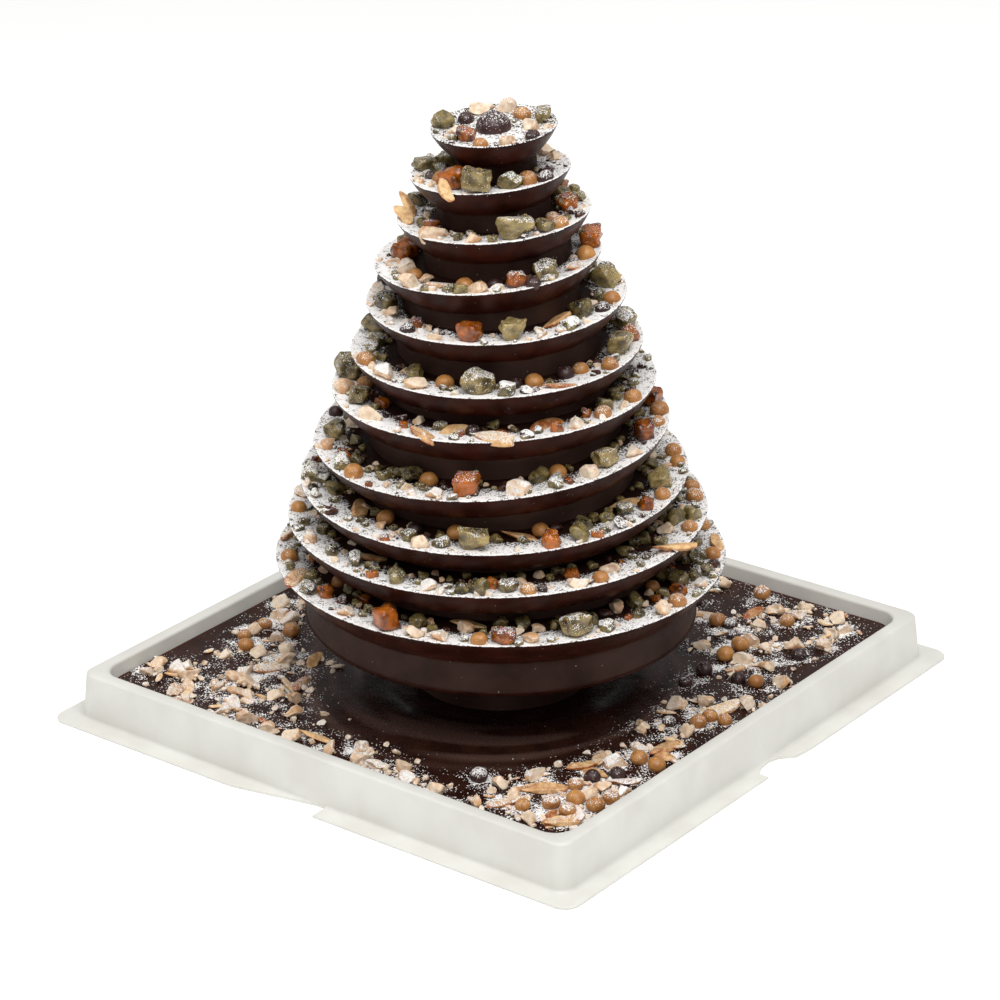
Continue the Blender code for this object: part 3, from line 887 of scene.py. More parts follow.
@dataclass(frozen=True)
class SugarDust:
    """Icing sugar, sieved: loose white specks, which run together where it lies thick.

    Its grains are about 0.05 mm, too fine to show, so each speck is a clump of them.
    """

    colour: str = "#F6F3F0"
    speck: float = 0.50 * MM
    patch: float = 3.5 * MM
    patchiness: tuple[float, float] = (0.72, 1.30)
    softness: float = 0.22
    least_softness: float = 0.003
    speck_reach: tuple[float, float] = (0.42, 1.3)
    roughness: float = 0.85
    thickness: float = 0.16 * MM

    def mask(self, tree: Tree, place: Socket, amount: Socket | Node) -> Node:
        """Work out how white a point is.

        Each cell of a fine pattern draws a lot.  A thin dusting whitens few cells, each one
        wholly; a thick one whitens most of them, and the rest show through as grey.

        Args:
            tree: The node tree.
            place: The place of the point.
            amount: The amount of sugar there, from 0 to about 1.

        Returns:
            The node that gives the whiteness.
        """
        least, most = self.patchiness
        patches = add_node(tree, "TexNoise", {"Vector": place, "Scale": 1.0 / self.patch, "Detail": 3.0})
        uneven = add_node(tree, "MapRange", {0: patches, 1: 0.3, 2: 0.7, 3: least, 4: most}, **SMOOTH)
        thick = add_node(tree, "Math", {0: amount, 1: uneven}, operation="MULTIPLY")
        cells = add_node(tree, "TexVoronoi", {"Vector": place, "Scale": 1.0 / self.speck})
        lot = add_node(tree, "SeparateColor", {"Color": cells.outputs["Color"]})
        soft = add_node(tree, "Math", {0: thick, 1: self.softness}, operation="MULTIPLY")
        soft = add_node(tree, "Math", {0: soft, 1: self.least_softness}, operation="ADD")
        over = add_node(tree, "Math", {0: thick, 1: soft}, operation="ADD")
        over = add_node(tree, "Math", {0: over, 1: lot}, operation="SUBTRACT")
        width = add_node(tree, "Math", {0: soft, 1: 2.0}, operation="MULTIPLY")
        white = add_node(tree, "Math", {0: over, 1: width}, operation="DIVIDE", use_clamp=True)
        near, far = self.speck_reach
        reach = add_node(tree, "MapRange", {0: thick, 1: 0.0, 2: 0.8, 3: near, 4: far}, **SMOOTH)
        inside = add_node(tree, "Math", {0: cells, 1: reach}, operation="LESS_THAN")
        return add_node(tree, "Math", {0: white, 1: inside}, operation="MULTIPLY")

    def dress(
        self, tree: Tree, shader: Node, mask: Node, surface: dict[str, Any]
    ) -> None:
        """Lay the specks over a surface.

        Args:
            tree: The node tree.
            shader: Its shader.
            mask: How white each point is.
            surface: The surface's own "colour", "roughness" and "relief".
        """
        colours = {0: mask, 6: surface["colour"], 7: self.colour}
        colour = add_node(tree, "Mix", colours, **COLOURS).outputs[2]
        rough = add_node(tree, "Mix", {0: mask, 2: surface["roughness"], 3: self.roughness})
        stood = {"Height": mask, "Normal": surface["relief"], "Strength": 0.8, "Distance": self.thickness}
        grains = add_node(tree, "Bump", stood)
        feed(tree, shader, {"Base Color": colour, "Roughness": rough, "Normal": grains})


@dataclass(frozen=True)
class ChocolateFinish:
    """Tempered dark chocolate, moulded or poured: near black-brown, redder where it is thin and glossy.

    The attribute "band" is 1 on the glossy outer band of a rim and 0 on satin faces; the third
    attribute is a painted sheen, paler grey-brown where sheen and light are painted onto faces in
    shade: the tiers' feet, the stem and the slab's smears; "dust" is the amount of icing sugar.
    """

    name: str = "tempered_dark_chocolate"
    satin: str = "#2E1B15"
    satin_deep: str = "#22120D"
    # colour of the painted sheen and light on shaded faces
    painted_sheen_colour: str = "#5D463E"
    band: str = "#34140C"
    band_deep: str = "#240B06"
    satin_roughness: float = 0.50
    band_roughness: float = 0.34
    shine: float = 0.10
    mottle: float = 9.0 * MM
    ripple: float = 5.0 * MM
    ripple_depth: float = 0.05 * MM
    scuff: float = 0.8 * MM
    scuff_depth: float = 0.05 * MM
    wear: tuple[float, float] = (-0.06, 0.10)
    ior: float = 1.46
    sugar: SugarDust = field(default_factory=SugarDust)

    def build(self) -> Material:
        """Build the material: colour, then gloss, then relief, and the sugar over them.

        Returns:
            The material.
        """
        material, tree, shader, place = start_material(self.name)
        names = ("band", "dust", "bloom")
        band, dust, bloom = (
            add_node(tree, "Attribute", attribute_name=name).outputs["Fac"] for name in names
        )
        mottle = add_node(tree, "TexNoise", {"Vector": place, "Scale": 1.0 / self.mottle, "Detail": 4.0})
        share = add_node(tree, "MapRange", {0: mottle, 1: 0.35, 2: 0.65}, **SMOOTH)
        satin = add_node(tree, "Mix", {0: share, 6: self.satin_deep, 7: self.satin}, **COLOURS).outputs[2]
        # painted sheen: shaded faces are mixed towards a paler grey-brown, standing in for the lamps' light
        # and sheen
        sheened = add_node(tree, "Mix", {0: bloom, 6: satin, 7: self.painted_sheen_colour}, **COLOURS).outputs[2]
        glossy = add_node(tree, "Mix", {0: share, 6: self.band_deep, 7: self.band}, **COLOURS).outputs[2]
        colour = add_node(tree, "Mix", {0: band, 6: sheened, 7: glossy}, **COLOURS).outputs[2]
        scuffs = add_node(tree, "TexNoise", {"Vector": place, "Scale": 1.0 / self.scuff, "Detail": 3.0})
        low, high = self.wear
        worn = add_node(tree, "MapRange", {0: scuffs, 1: 0.35, 2: 0.75, 3: low, 4: high}, **SMOOTH)
        gloss = add_node(
            tree, "MapRange", {0: band, 3: self.satin_roughness, 4: self.band_roughness}, **SMOOTH
        )
        roughness = add_node(tree, "Math", {0: gloss, 1: worn}, operation="ADD")
        waves = add_node(tree, "TexNoise", {"Vector": place, "Scale": 1.0 / self.ripple, "Detail": 2.0})
        poured = {"Height": waves, "Strength": 1.0, "Distance": self.ripple_depth * 4.0}
        rubbed = {"Height": scuffs, "Strength": 0.35, "Distance": self.scuff_depth}
        relief = add_node(tree, "Bump", {**rubbed, "Normal": add_node(tree, "Bump", poured)})
        mask = self.sugar.mask(tree, place, dust)
        surface = {"colour": colour, "roughness": roughness, "relief": relief}
        self.sugar.dress(tree, shader, mask, surface)
        feed(tree, shader, {"IOR": self.ior, "Specular IOR Level": self.shine})
        return material


@dataclass(frozen=True)
class ToppingFinish:
    """A dry topping, such as a nut: two colours mottled together, its own tint, and sugar on its top.

    The attribute "tint" shifts each piece between its two colours, and "dust" is the amount of
    icing sugar.  Nuts let a little light in, by their glow.
    """

    name: str
    slot: str
    pale: str
    deep: str
    mottle: float = 1.6 * MM
    roughness: float = 0.5
    bumps: float = 0.5 * MM
    bump_depth: float = 0.05 * MM
    glow: float = 0.0
    glow_depth: float = 1.5 * MM
    glow_colour: tuple[float, float, float] = (1.0, 0.5, 0.25)
    crystals: float = 0.0
    detail: float = 4.0
    syrup: float = 0.0
    syrup_roughness: float = 0.10
    spread: float = 0.3
    sugar: SugarDust = field(default_factory=lambda: SugarDust(speck=0.34 * MM, patch=2.0 * MM))

    def build(self) -> Material:
        """Build the material: colour, then gloss and relief, and the sugar on what faces upwards.

        Returns:
            The material.
        """
        material, tree, shader, place = start_material(self.name)
        tint, dust = (
            add_node(tree, "Attribute", attribute_name=name).outputs["Fac"] for name in ("tint", "dust")
        )
        clouds = {"Vector": place, "Scale": 1.0 / self.mottle, "Detail": self.detail}
        mottle = add_node(tree, "TexNoise", clouds)
        low, high = -self.spread, self.spread
        own = add_node(tree, "MapRange", {0: mottle, 1: 0.3, 2: 0.7, 3: low, 4: high}, **SMOOTH)
        share = add_node(tree, "Math", {0: tint, 1: own}, operation="ADD", use_clamp=True)
        colour = add_node(tree, "Mix", {0: share, 6: self.pale, 7: self.deep}, **COLOURS).outputs[2]
        skin = add_node(tree, "TexNoise", {"Vector": place, "Scale": 1.0 / self.bumps, "Detail": 3.0})
        low, high = self.roughness - 0.07, self.roughness + 0.07
        roughness = add_node(tree, "MapRange", {0: skin, 1: 0.3, 2: 0.7, 3: low, 4: high}, **SMOOTH)
        relief = add_node(tree, "Bump", {"Height": skin, "Strength": 1.0, "Distance": self.bump_depth * 4.0})
        normal = add_node(tree, "NewGeometry").outputs["Normal"]
        up = add_node(tree, "SeparateXYZ", {0: normal}).outputs[2]
        upward = add_node(tree, "MapRange", {0: up, 1: 0.05, 2: 0.8}, **SMOOTH)
        amount = add_node(tree, "Math", {0: dust, 1: upward}, operation="MULTIPLY")
        if self.crystals > 0.0:
            amount = add_node(tree, "Math", {0: amount, 1: self.crystals}, operation="ADD")
        mask = self.sugar.mask(tree, place, amount)
        surface = {"colour": colour, "roughness": roughness, "relief": relief}
        self.sugar.dress(tree, shader, mask, surface)
        feed(tree, shader, {"Subsurface Weight": self.glow, "Subsurface Scale": self.glow_depth})
        feed(tree, shader, {"Subsurface Radius": self.glow_colour})
        feed(tree, shader, {"Coat Weight": self.syrup, "Coat Roughness": self.syrup_roughness})
        return material


@dataclass(frozen=True)
class PearlFinish(ToppingFinish):
    """A crisp ball tumbled in chocolate: an even satin skin with very shallow bumps."""

    mottle: float = 2.5 * MM
    bumps: float = 1.2 * MM
    bump_depth: float = 0.03 * MM


@dataclass(frozen=True)
class CandiedFinish(ToppingFinish):
    """Candied fruit or peel: clear flesh that lets light in under a coat of syrup, softly mottled."""

    roughness: float = 0.22
    bumps: float = 1.2 * MM
    bump_depth: float = 0.04 * MM
    glow: float = 0.6
    detail: float = 1.5
    syrup: float = 0.35


@dataclass(frozen=True)
class PlasticFinish:
    """White polystyrene sheet, pressed while hot: satin, a little warm, with faint flow marks."""

    name: str = "pressed_white_polystyrene"
    pale: str = "#DEDDD6"
    deep: str = "#D5D3CB"
    roughness: float = 0.42
    cloud: float = 22.0 * MM
    flow: float = 7.0 * MM
    flow_depth: float = 0.15 * MM
    ior: float = 1.5

    def build(self) -> Material:
        """Build the material: clouded white, and flow marks in its gloss and relief.

        Returns:
            The material.
        """
        material, tree, shader, place = start_material(self.name)
        cloud = add_node(tree, "TexNoise", {"Vector": place, "Scale": 1.0 / self.cloud, "Detail": 3.0})
        share = add_node(tree, "MapRange", {0: cloud, 1: 0.3, 2: 0.7}, **SMOOTH)
        colour = add_node(tree, "Mix", {0: share, 6: self.deep, 7: self.pale}, **COLOURS).outputs[2]
        flow = add_node(tree, "TexNoise", {"Vector": place, "Scale": 1.0 / self.flow, "Detail": 3.0})
        low, high = self.roughness - 0.05, self.roughness + 0.08
        rough = add_node(tree, "MapRange", {0: flow, 1: 0.3, 2: 0.7, 3: low, 4: high}, **SMOOTH)
        relief = add_node(tree, "Bump", {"Height": flow, "Strength": 0.6, "Distance": self.flow_depth})
        dressed = {"Base Color": colour, "Roughness": rough, "Normal": relief, "IOR": self.ior}
        feed(tree, shader, dressed)
        return material


@dataclass(frozen=True)
class MattFinish:
    """Matt white with a faint mottle; the extras are inputs of its shader, by name."""

    name: str
    pale: str
    deep: str
    tone: float
    roughness: float
    extras: dict[str, Any]

    def build(self) -> Material:
        """Build the material.

        Returns:
            The material.
        """
        material, tree, shader, place = start_material(self.name)
        tone = add_node(tree, "TexNoise", {"Vector": place, "Scale": 1.0 / self.tone, "Detail": 2.0})
        colour = add_node(tree, "Mix", {0: tone, 6: self.deep, 7: self.pale}, **COLOURS).outputs[2]
        feed(tree, shader, {"Base Color": colour, "Roughness": self.roughness, **self.extras})
        return material


# Clumped icing sugar lets a little light in; the floor's white board gives back a little of its own.
GRAINS = MattFinish(
    "icing_sugar_grains", "#FBFAF8", "#EDE9E6", 1.5 * MM, 0.8,
    {"Subsurface Weight": 0.2, "Subsurface Scale": 0.3 * MM},
)
FLOOR = MattFinish(
    "matt_white_floor", "#FBFBFA", "#F8F8F7", 1.0 / 3.0, 0.9,
    {"Specular IOR Level": 0.1, "Emission Color": "#FBFBFA", "Emission Strength": 0.12},
)
ORANGE_LIGHT = (1.0, 0.42, 0.15)
GREEN_LIGHT = (0.9, 0.72, 0.45)
POURED = ChocolateFinish(
    name="poured_dark_chocolate",
    satin="#331C15",
    satin_deep="#26130E",
    band="#4A1A0E",
    band_deep="#34100A",
    satin_roughness=0.28,
    ripple=14.0 * MM,
    ripple_depth=0.08 * MM,
    shine=0.16,
)
TOP_BALL = PearlFinish(
    "dark_chocolate_ball", "dark_pearl", "#3E2322", "#281312", 3.0 * MM, 0.38, bumps=1.0 * MM
)
FINISHES: dict[Topping, ToppingFinish] = {
    Topping.CARAMEL_PEARL: PearlFinish(
        "caramel_chocolate_pearl", "caramel_pearl", "#C68C4C", "#935E2F",
        roughness=0.36, glow=0.1, glow_depth=0.8 * MM,
    ),
    Topping.DARK_PEARL: PearlFinish(
        "dark_chocolate_pearl", "dark_pearl", "#402623", "#281614", roughness=0.42
    ),
    Topping.CHOPPED_NUT: ToppingFinish(
        "chopped_blanched_nut", "chopped_nut", "#F4E0C6", "#CA9868",
        mottle=2.0 * MM, roughness=0.6, bumps=0.6 * MM, glow=0.15, glow_depth=1.0 * MM,
    ),
    Topping.ALMOND_FLAKE: ToppingFinish(
        "toasted_almond", "toasted_almond", "#F0C88E", "#9E5422",
        mottle=2.4 * MM, bumps=0.7 * MM, bump_depth=0.04 * MM, glow=0.12, glow_depth=1.0 * MM,
    ),
    Topping.CANDIED_PEEL: CandiedFinish(
        "candied_orange_peel", "candied_orange", "#BE6A1A", "#451A08",
        mottle=2.8 * MM, bump_depth=0.035 * MM, glow_depth=1.8 * MM, glow_colour=ORANGE_LIGHT,
    ),
    Topping.CANDIED_FRUIT: CandiedFinish(
        "candied_green_fruit", "candied_green", "#94824F", "#332915",
        mottle=2.6 * MM, roughness=0.24, bump_depth=0.035 * MM, glow_depth=2.0 * MM,
        glow_colour=GREEN_LIGHT, crystals=0.02, syrup=0.30,
    ),
    Topping.DARK_PIECE: ToppingFinish(
        "dark_dried_fruit", "dark_chocolate", "#4E2A1C", "#26120E",
        mottle=2.0 * MM, roughness=0.36, bumps=0.8 * MM, bump_depth=0.06 * MM,
    ),
    Topping.GREEN_LUMP: CandiedFinish(
        "candied_green_melon", "candied_green", "#AE9860", "#46391C",
        mottle=3.4 * MM, bumps=1.3 * MM, glow=0.65, glow_depth=3.0 * MM,
        glow_colour=GREEN_LIGHT, crystals=0.03,
    ),
    Topping.ORANGE_CUBE: CandiedFinish(
        "candied_orange", "candied_orange", "#B86418", "#451A08",
        mottle=3.2 * MM, roughness=0.20, glow_depth=2.4 * MM, glow_colour=ORANGE_LIGHT, syrup=0.40,
    ),
}


# ---- the tray


def rounded_square(
    bm: BMesh, half: float, corner: float, height: float, steps: int
) -> list[bmesh.types.BMEdge]:
    """Add one closed loop of edges: a square of rounded corners.

    Args:
        bm: The mesh to add it to.
        half: Half the square's side.
        corner: Its corners' radius.
        height: Its height.
        steps: Steps in each corner.

    Returns:
        The loop's edges.
    """
    loop = []
    for quarter in range(4):
        middle = math.radians(45.0 + 90.0 * quarter)
        centre = polar(1.0, middle) * (half - corner) * math.sqrt(2.0)
        for step in range(steps + 1):
            angle = middle + math.radians(90.0) * (step / steps - 0.5)
            place = centre + polar(1.0, angle) * corner
            loop.append(bm.verts.new((place.x, place.y, height)))
    return [bm.edges.new((loop[i - 1], loop[i])) for i in range(len(loop))]


@dataclass
class Tray:
    """The pressed tray: flange with torn thumb notches, outer wall, rounded rim, inner wall, floor.

    A notch is listed as (along the side, out from it) corners in millimetres.
    """

    flange_half: float = 132.0 * MM
    flange_thick: float = 1.0 * MM
    flange_edge: float = 0.3 * MM
    flange_corner: float = 7.0 * MM
    foot_half: float = 123.9 * MM
    foot_fillet: float = 1.6 * MM
    rim_z: float = 20.6 * MM
    rim_outer_half: float = 122.6 * MM
    rim_inner_half: float = 116.5 * MM
    rim_round: float = 1.3 * MM
    rim_crown: float = 0.25 * MM
    outer_corner: float = 6.0 * MM
    inner_corner: float = 9.0 * MM
    floor_z: float = 1.3 * MM
    floor_half: float = 114.0 * MM
    corner_steps: int = 12
    round_steps: int = 4
    long_notch: Pairs = (
        *((-34.0, 0.5), (-34.0, 0.0), (4.0, -8.0), (8.5, -8.0), (8.5, 0.5)),
    )
    round_notch: Pairs = (
        *((-3.0, 0.5), (-3.0, -4.0), (1.5, -6.6), (8.0, -7.4)),
        *((12.5, -6.2), (18.0, -1.0), (32.0, 0.5)),
    )
    sharp: float = 35.0
    finish: PlasticFinish = field(default_factory=PlasticFinish)

    def turns(self) -> list[float]:
        """Return the angles of the steps round a quarter of a circle."""
        return [0.5 * math.pi * step / self.round_steps for step in range(self.round_steps + 1)]

    def shoulder(self, half: float, corner: float, inward: float) -> Levels:
        """List one rounded edge of the rim.

        Args:
            half: Half the side of the wall under it.
            corner: Its corners' radius.
            inward: -1 where the rim is inside the wall, and 1 where it is outside.

        Returns:
            Its (half side, corner radius, height) from below.
        """
        top = self.rim_z - self.rim_crown
        return [
            (
                half + inward * self.rim_round * (1.0 - math.cos(turn)),
                corner,
                top - self.rim_round * (1.0 - math.sin(turn)),
            )
            for turn in self.turns()
        ]

    def levels(self) -> Levels:
        """Return the tray's section as (half side, corner radius, height), from below outwards."""
        thick, edge = self.flange_thick, self.flange_edge
        levels = [
            (self.flange_half - edge, self.flange_corner, 0.0),
            (self.flange_half, self.flange_corner, edge),
            (self.flange_half, self.flange_corner, thick - edge),
            (self.flange_half - edge, self.flange_corner, thick),
        ]
        for turn in self.turns():
            half = self.foot_half + self.foot_fillet * (1.0 - math.sin(turn))
            levels.append((half, self.outer_corner, thick + self.foot_fillet * (1.0 - math.cos(turn))))
        levels += self.shoulder(self.rim_outer_half, self.outer_corner, -1.0)
        crown_half = 0.5 * (self.rim_outer_half + self.rim_inner_half)
        levels.append((crown_half, 0.5 * (self.outer_corner + self.inner_corner), self.rim_z))
        levels += self.shoulder(self.rim_inner_half, self.inner_corner, 1.0)[::-1]
        levels.append((self.floor_half, self.inner_corner, self.floor_z))
        return levels

    def notch(self, outline: Pairs, turn: float) -> bpy.types.Object:
        """Make the cutter of one thumb notch.

        Args:
            outline: The notch's corners.
            turn: How far it is turned from the front side.

        Returns:
            The cutter, which is removed once the tray is cut.
        """
        bm = bmesh.new()
        half = self.flange_half
        corners = [bm.verts.new((along * MM, -half - out * MM, -self.flange_thick)) for along, out in outline]
        face = bm.faces.new(corners)
        grown = bmesh.ops.extrude_face_region(bm, geom=[face])
        lifted = [part for part in grown["geom"] if isinstance(part, bmesh.types.BMVert)]
        bmesh.ops.translate(bm, verts=lifted, vec=(0.0, 0.0, 3.0 * self.flange_thick))
        bmesh.ops.recalc_face_normals(bm, faces=bm.faces[:])
        bmesh.ops.rotate(bm, verts=bm.verts[:], cent=(0.0, 0.0, 0.0), matrix=Matrix.Rotation(turn, 3, "Z"))
        return to_object("notch", to_mesh(bm, "notch"))

    def build(self) -> None:
        """Build the tray from its loops, cut its notches and dress it."""
        bm = bmesh.new()
        loops = [rounded_square(bm, *level, self.corner_steps) for level in self.levels()]
        for lower, upper in zip(loops, loops[1:]):
            bmesh.ops.bridge_loops(bm, edges=lower + upper)
        close_up(bm)
        blank = to_object("tray_blank", to_mesh(bm, "tray_blank"))
        outlines = (self.long_notch, self.round_notch) * 2
        cutters = [self.notch(outline, math.radians(90.0 * side)) for side, outline in enumerate(outlines)]
        for number, cutter in enumerate(cutters):
            cut = blank.modifiers.new(f"notch_{number}", "BOOLEAN")
            cut.operation = "DIFFERENCE"
            cut.solver = "EXACT"
            cut.object = cutter
        evaluated = blank.evaluated_get(bpy.context.evaluated_depsgraph_get())
        bm = bmesh.new()
        bm.from_mesh(evaluated.to_mesh())
        evaluated.to_mesh_clear()
        for item in [blank, *cutters]:
            bpy.data.objects.remove(item)
        to_piece(bm, "pressed_tray", self.finish.build(), "white_tray", self.sharp, ["tray"])


# ---- the poured chocolate


@dataclass
class Slab:
    """The slab poured into the tray, with its pieces' plan, a cell for each letter, back edge first.

    The swirls are the smears that the chocolate left as it was spread round the stem; their ridges are also
    painted paler, a painted highlight.
    """

    plan: TreePlan
    floor_half: float = 114.0 * MM
    floor_z: float = 1.3 * MM
    top_half: float = 115.3 * MM
    top_z: float = 14.6 * MM
    corner: float = 8.6 * MM
    cells: int = 150
    swell_middle: float = 54.0 * MM
    swell_half: float = 7.0 * MM
    swell_rise: float = 0.8 * MM
    swirl_reach: tuple[float, float, float] = (38.0 * MM, 60.0 * MM, 92.0 * MM)
    swirl_width: float = 7.0 * MM
    swirl_pitch: float = 60.0 * MM
    swirl_arcs: float = 1.3
    swirl_rise: float = 0.26 * MM
    swirl_sheen: float = 1.6
    most_sheen: float = 0.6
    wave_grain: float = 24.0 * MM
    wave_rise: float = 0.12 * MM
    cell: float = 8.0 * MM
    cell_spread: float = 0.25
    sizes: tuple[float, float] = (0.85, 1.1)
    wall_spare: float = 1.0 * MM
    dust_reach: float = 7.5 * MM
    dust_patch: float = 8.0 * MM
    dust_amount: float = 0.72
    most_dust: float = 0.95
    edge_width: float = 1.4 * MM
    rows: tuple[str, ...] = (
        "...an...........d.n.p..n.n..",
        ".n.p.N..n.....p.......nn..n.",
        "..A..n.p.............A.p..n.",
        ".n.d.a............d...n...n.",
        "..N..n.............apd...N..",
        ".p.n..................dNn.d.",
        "..n.p..................p....",
        ".a...................N.pnN..",
        "..n.....................A..n",
        ".......................d.dp.",
        "............................",
        ".......................d...N",
        ".........................nA.",
        "..p.....................N.pp",
        "..........................p.",
        ".n.......................dn.",
        "n.......................n...",
        ".Nn.......................a.",
        ".p.p.....................N.a",
        ".n.N......................pp",
        ".p..n.a.................an..",
        "..pn.n..................Aada",
        "..N..A.a.................dNN",
        "....n..a...............n.pNp",
        ".N..Nn.Nn..............Aa.pp",
        "nnn.nNN..n...........dnn.ppa",
        "n..a..N.....A.n..n.....ap.aa",
        "...nn.n.nN.n.N.Nn.n.N.n..N..",
    )

    def spots(self) -> Iterator[SlabSpot]:
        """Yield how each letter's piece is laid, by the solids' rule."""
        rng = random.Random(SEED)
        edge = self.floor_half - self.wall_spare
        wander = self.cell_spread
        for row, line in enumerate(self.rows):
            for column, letter in enumerate(line):
                if letter == ".":
                    continue
                x = (column + 0.5 + rng.uniform(-wander, wander) - 0.5 * len(line)) * self.cell
                y = (0.5 * len(self.rows) - row - 0.5 + rng.uniform(-wander, wander)) * self.cell
                size = rng.uniform(*self.sizes)
                turn = rng.uniform(0.0, math.pi)
                topping = Topping(letter.lower())
                kind = KINDS[topping]
                grown = (0.5 + kind.roughness) * MM * size
                across, along = abs(math.cos(turn)), abs(math.sin(turn))
                limit_x = edge - grown * (kind.length * across + kind.width * along)
                limit_y = edge - grown * (kind.length * along + kind.width * across)
                yield SlabSpot(topping, clamp(x, -limit_x, limit_x), clamp(y, -limit_y, limit_y), size, turn)

    def middles(self) -> list[tuple[float, float]]:
        """Return where the pieces lie."""
        return [(spot.x, spot.y) for spot in self.spots()]

    def dust(self, x: float, y: float, middles: list[tuple[float, float]]) -> float:
        """Work out the icing sugar at a point: it lies where the pieces do.

        Args:
            x: The point's place across.
            y: The point's place along.
            middles: Where the pieces lie.

        Returns:
            The amount, from 0 to 1.
        """
        total = 0.0
        for spot_x, spot_y in middles:
            away = (spot_x - x) ** 2 + (spot_y - y) ** 2
            if away < (3.0 * self.dust_reach) ** 2:
                total += math.exp(-away / (self.dust_reach**2))
        patch = 0.5 + noise.noise(Vector((x, y, 0.0)) / self.dust_patch)
        return min(self.most_dust, self.dust_amount * total * max(0.1, patch) ** 1.6)

    def swirl(self, x: float, y: float) -> float:
        """Work out how strong the smears round the stem are.

        Args:
            x: The point's place across.
            y: The point's place along.

        Returns:
            The strength, from about -1 in a hollow to 1 on a ridge.
        """
        across, along = x - self.plan.x, y - self.plan.y
        away = math.hypot(across, along)
        near, middle, far = self.swirl_reach
        share = (away - near) / (middle - near) if away < middle else (far - away) / (far - middle)
        turn = math.atan2(along, across) + away / self.swirl_pitch
        return 2.0 * noise.noise(polar(self.swirl_arcs, turn, away / self.swirl_width)) * clamp(share)

    def height(self, x: float, y: float) -> float:
        """Work out the slab's top: the ring round the stem, the smears and faint waves of pouring.

        Args:
            x: The point's place across.
            y: The point's place along.

        Returns:
            The height.
        """
        away = math.hypot(x - self.plan.x, y - self.plan.y)
        ring = max(0.0, 1.0 - ((away - self.swell_middle) / self.swell_half) ** 2)
        wave = noise.noise(Vector((x, y, 0.0)) / self.wave_grain)
        rise = self.swell_rise * ring**1.5 + self.swirl_rise * self.swirl(x, y)
        return self.top_z + rise + self.wave_rise * wave

    def reach(self, across: float, along: float) -> float:
        """Work out how far the rounded square reaches towards a point of a unit square's edge.

        Args:
            across: The point's place across, from -1 to 1.
            along: The point's place along, from -1 to 1.

        Returns:
            The reach, as a share of the way to that point.
        """
        inner = 1.0 - self.corner / self.top_half
        if min(abs(across), abs(along)) <= inner * max(abs(across), abs(along)):
            return 1.0
        dot = inner * (abs(across) + abs(along))
        square = across * across + along * along
        rest = 2.0 * inner * inner - (self.corner / self.top_half) ** 2
        return (dot + math.sqrt(max(0.0, dot * dot - square * rest))) / square

    def build(self, material: Material) -> None:
        """Build the slab with its dusting and its painted highlights.

        Args:
            material: The chocolate.
        """
        bm = bmesh.new()
        dust, band, bloom = float_layers(bm, "dust", "band", "bloom")
        bmesh.ops.create_grid(bm, x_segments=self.cells, y_segments=self.cells, size=1.0)
        grown = bmesh.ops.extrude_edge_only(bm, edges=open_rim(bm))
        lower = {part for part in grown["geom"] if isinstance(part, bmesh.types.BMVert)}
        middles = self.middles()
        for vert in bm.verts:
            share = max(abs(vert.co.x), abs(vert.co.y))
            scale = self.reach(vert.co.x / share, vert.co.y / share) if share > 0.0 else 1.0
            flat = Vector((vert.co.x, vert.co.y, 0.0)) * scale
            if vert in lower:
                vert.co = flat * self.floor_half
                vert.co.z = self.floor_z + GAP
            else:
                vert.co = flat * self.top_half
                vert.co.z = self.height(vert.co.x, vert.co.y)
                vert[dust] = self.dust(vert.co.x, vert.co.y, middles)
                # painted highlight: the smears' ridges are painted paler, standing in for the lamps'
                # reflections on them
                smear = self.swirl_sheen * self.swirl(vert.co.x, vert.co.y)
                vert[bloom] = clamp(smear, 0.0, self.most_sheen)
            edge = max(abs(vert.co.x), abs(vert.co.y)) - self.top_half + self.edge_width
            vert[band] = clamp(edge / self.edge_width)
        close_up(bm)
        to_piece(bm, "poured_slab", material, "dark_chocolate", nodes=["chocolate_base"])


# ---- the tiers


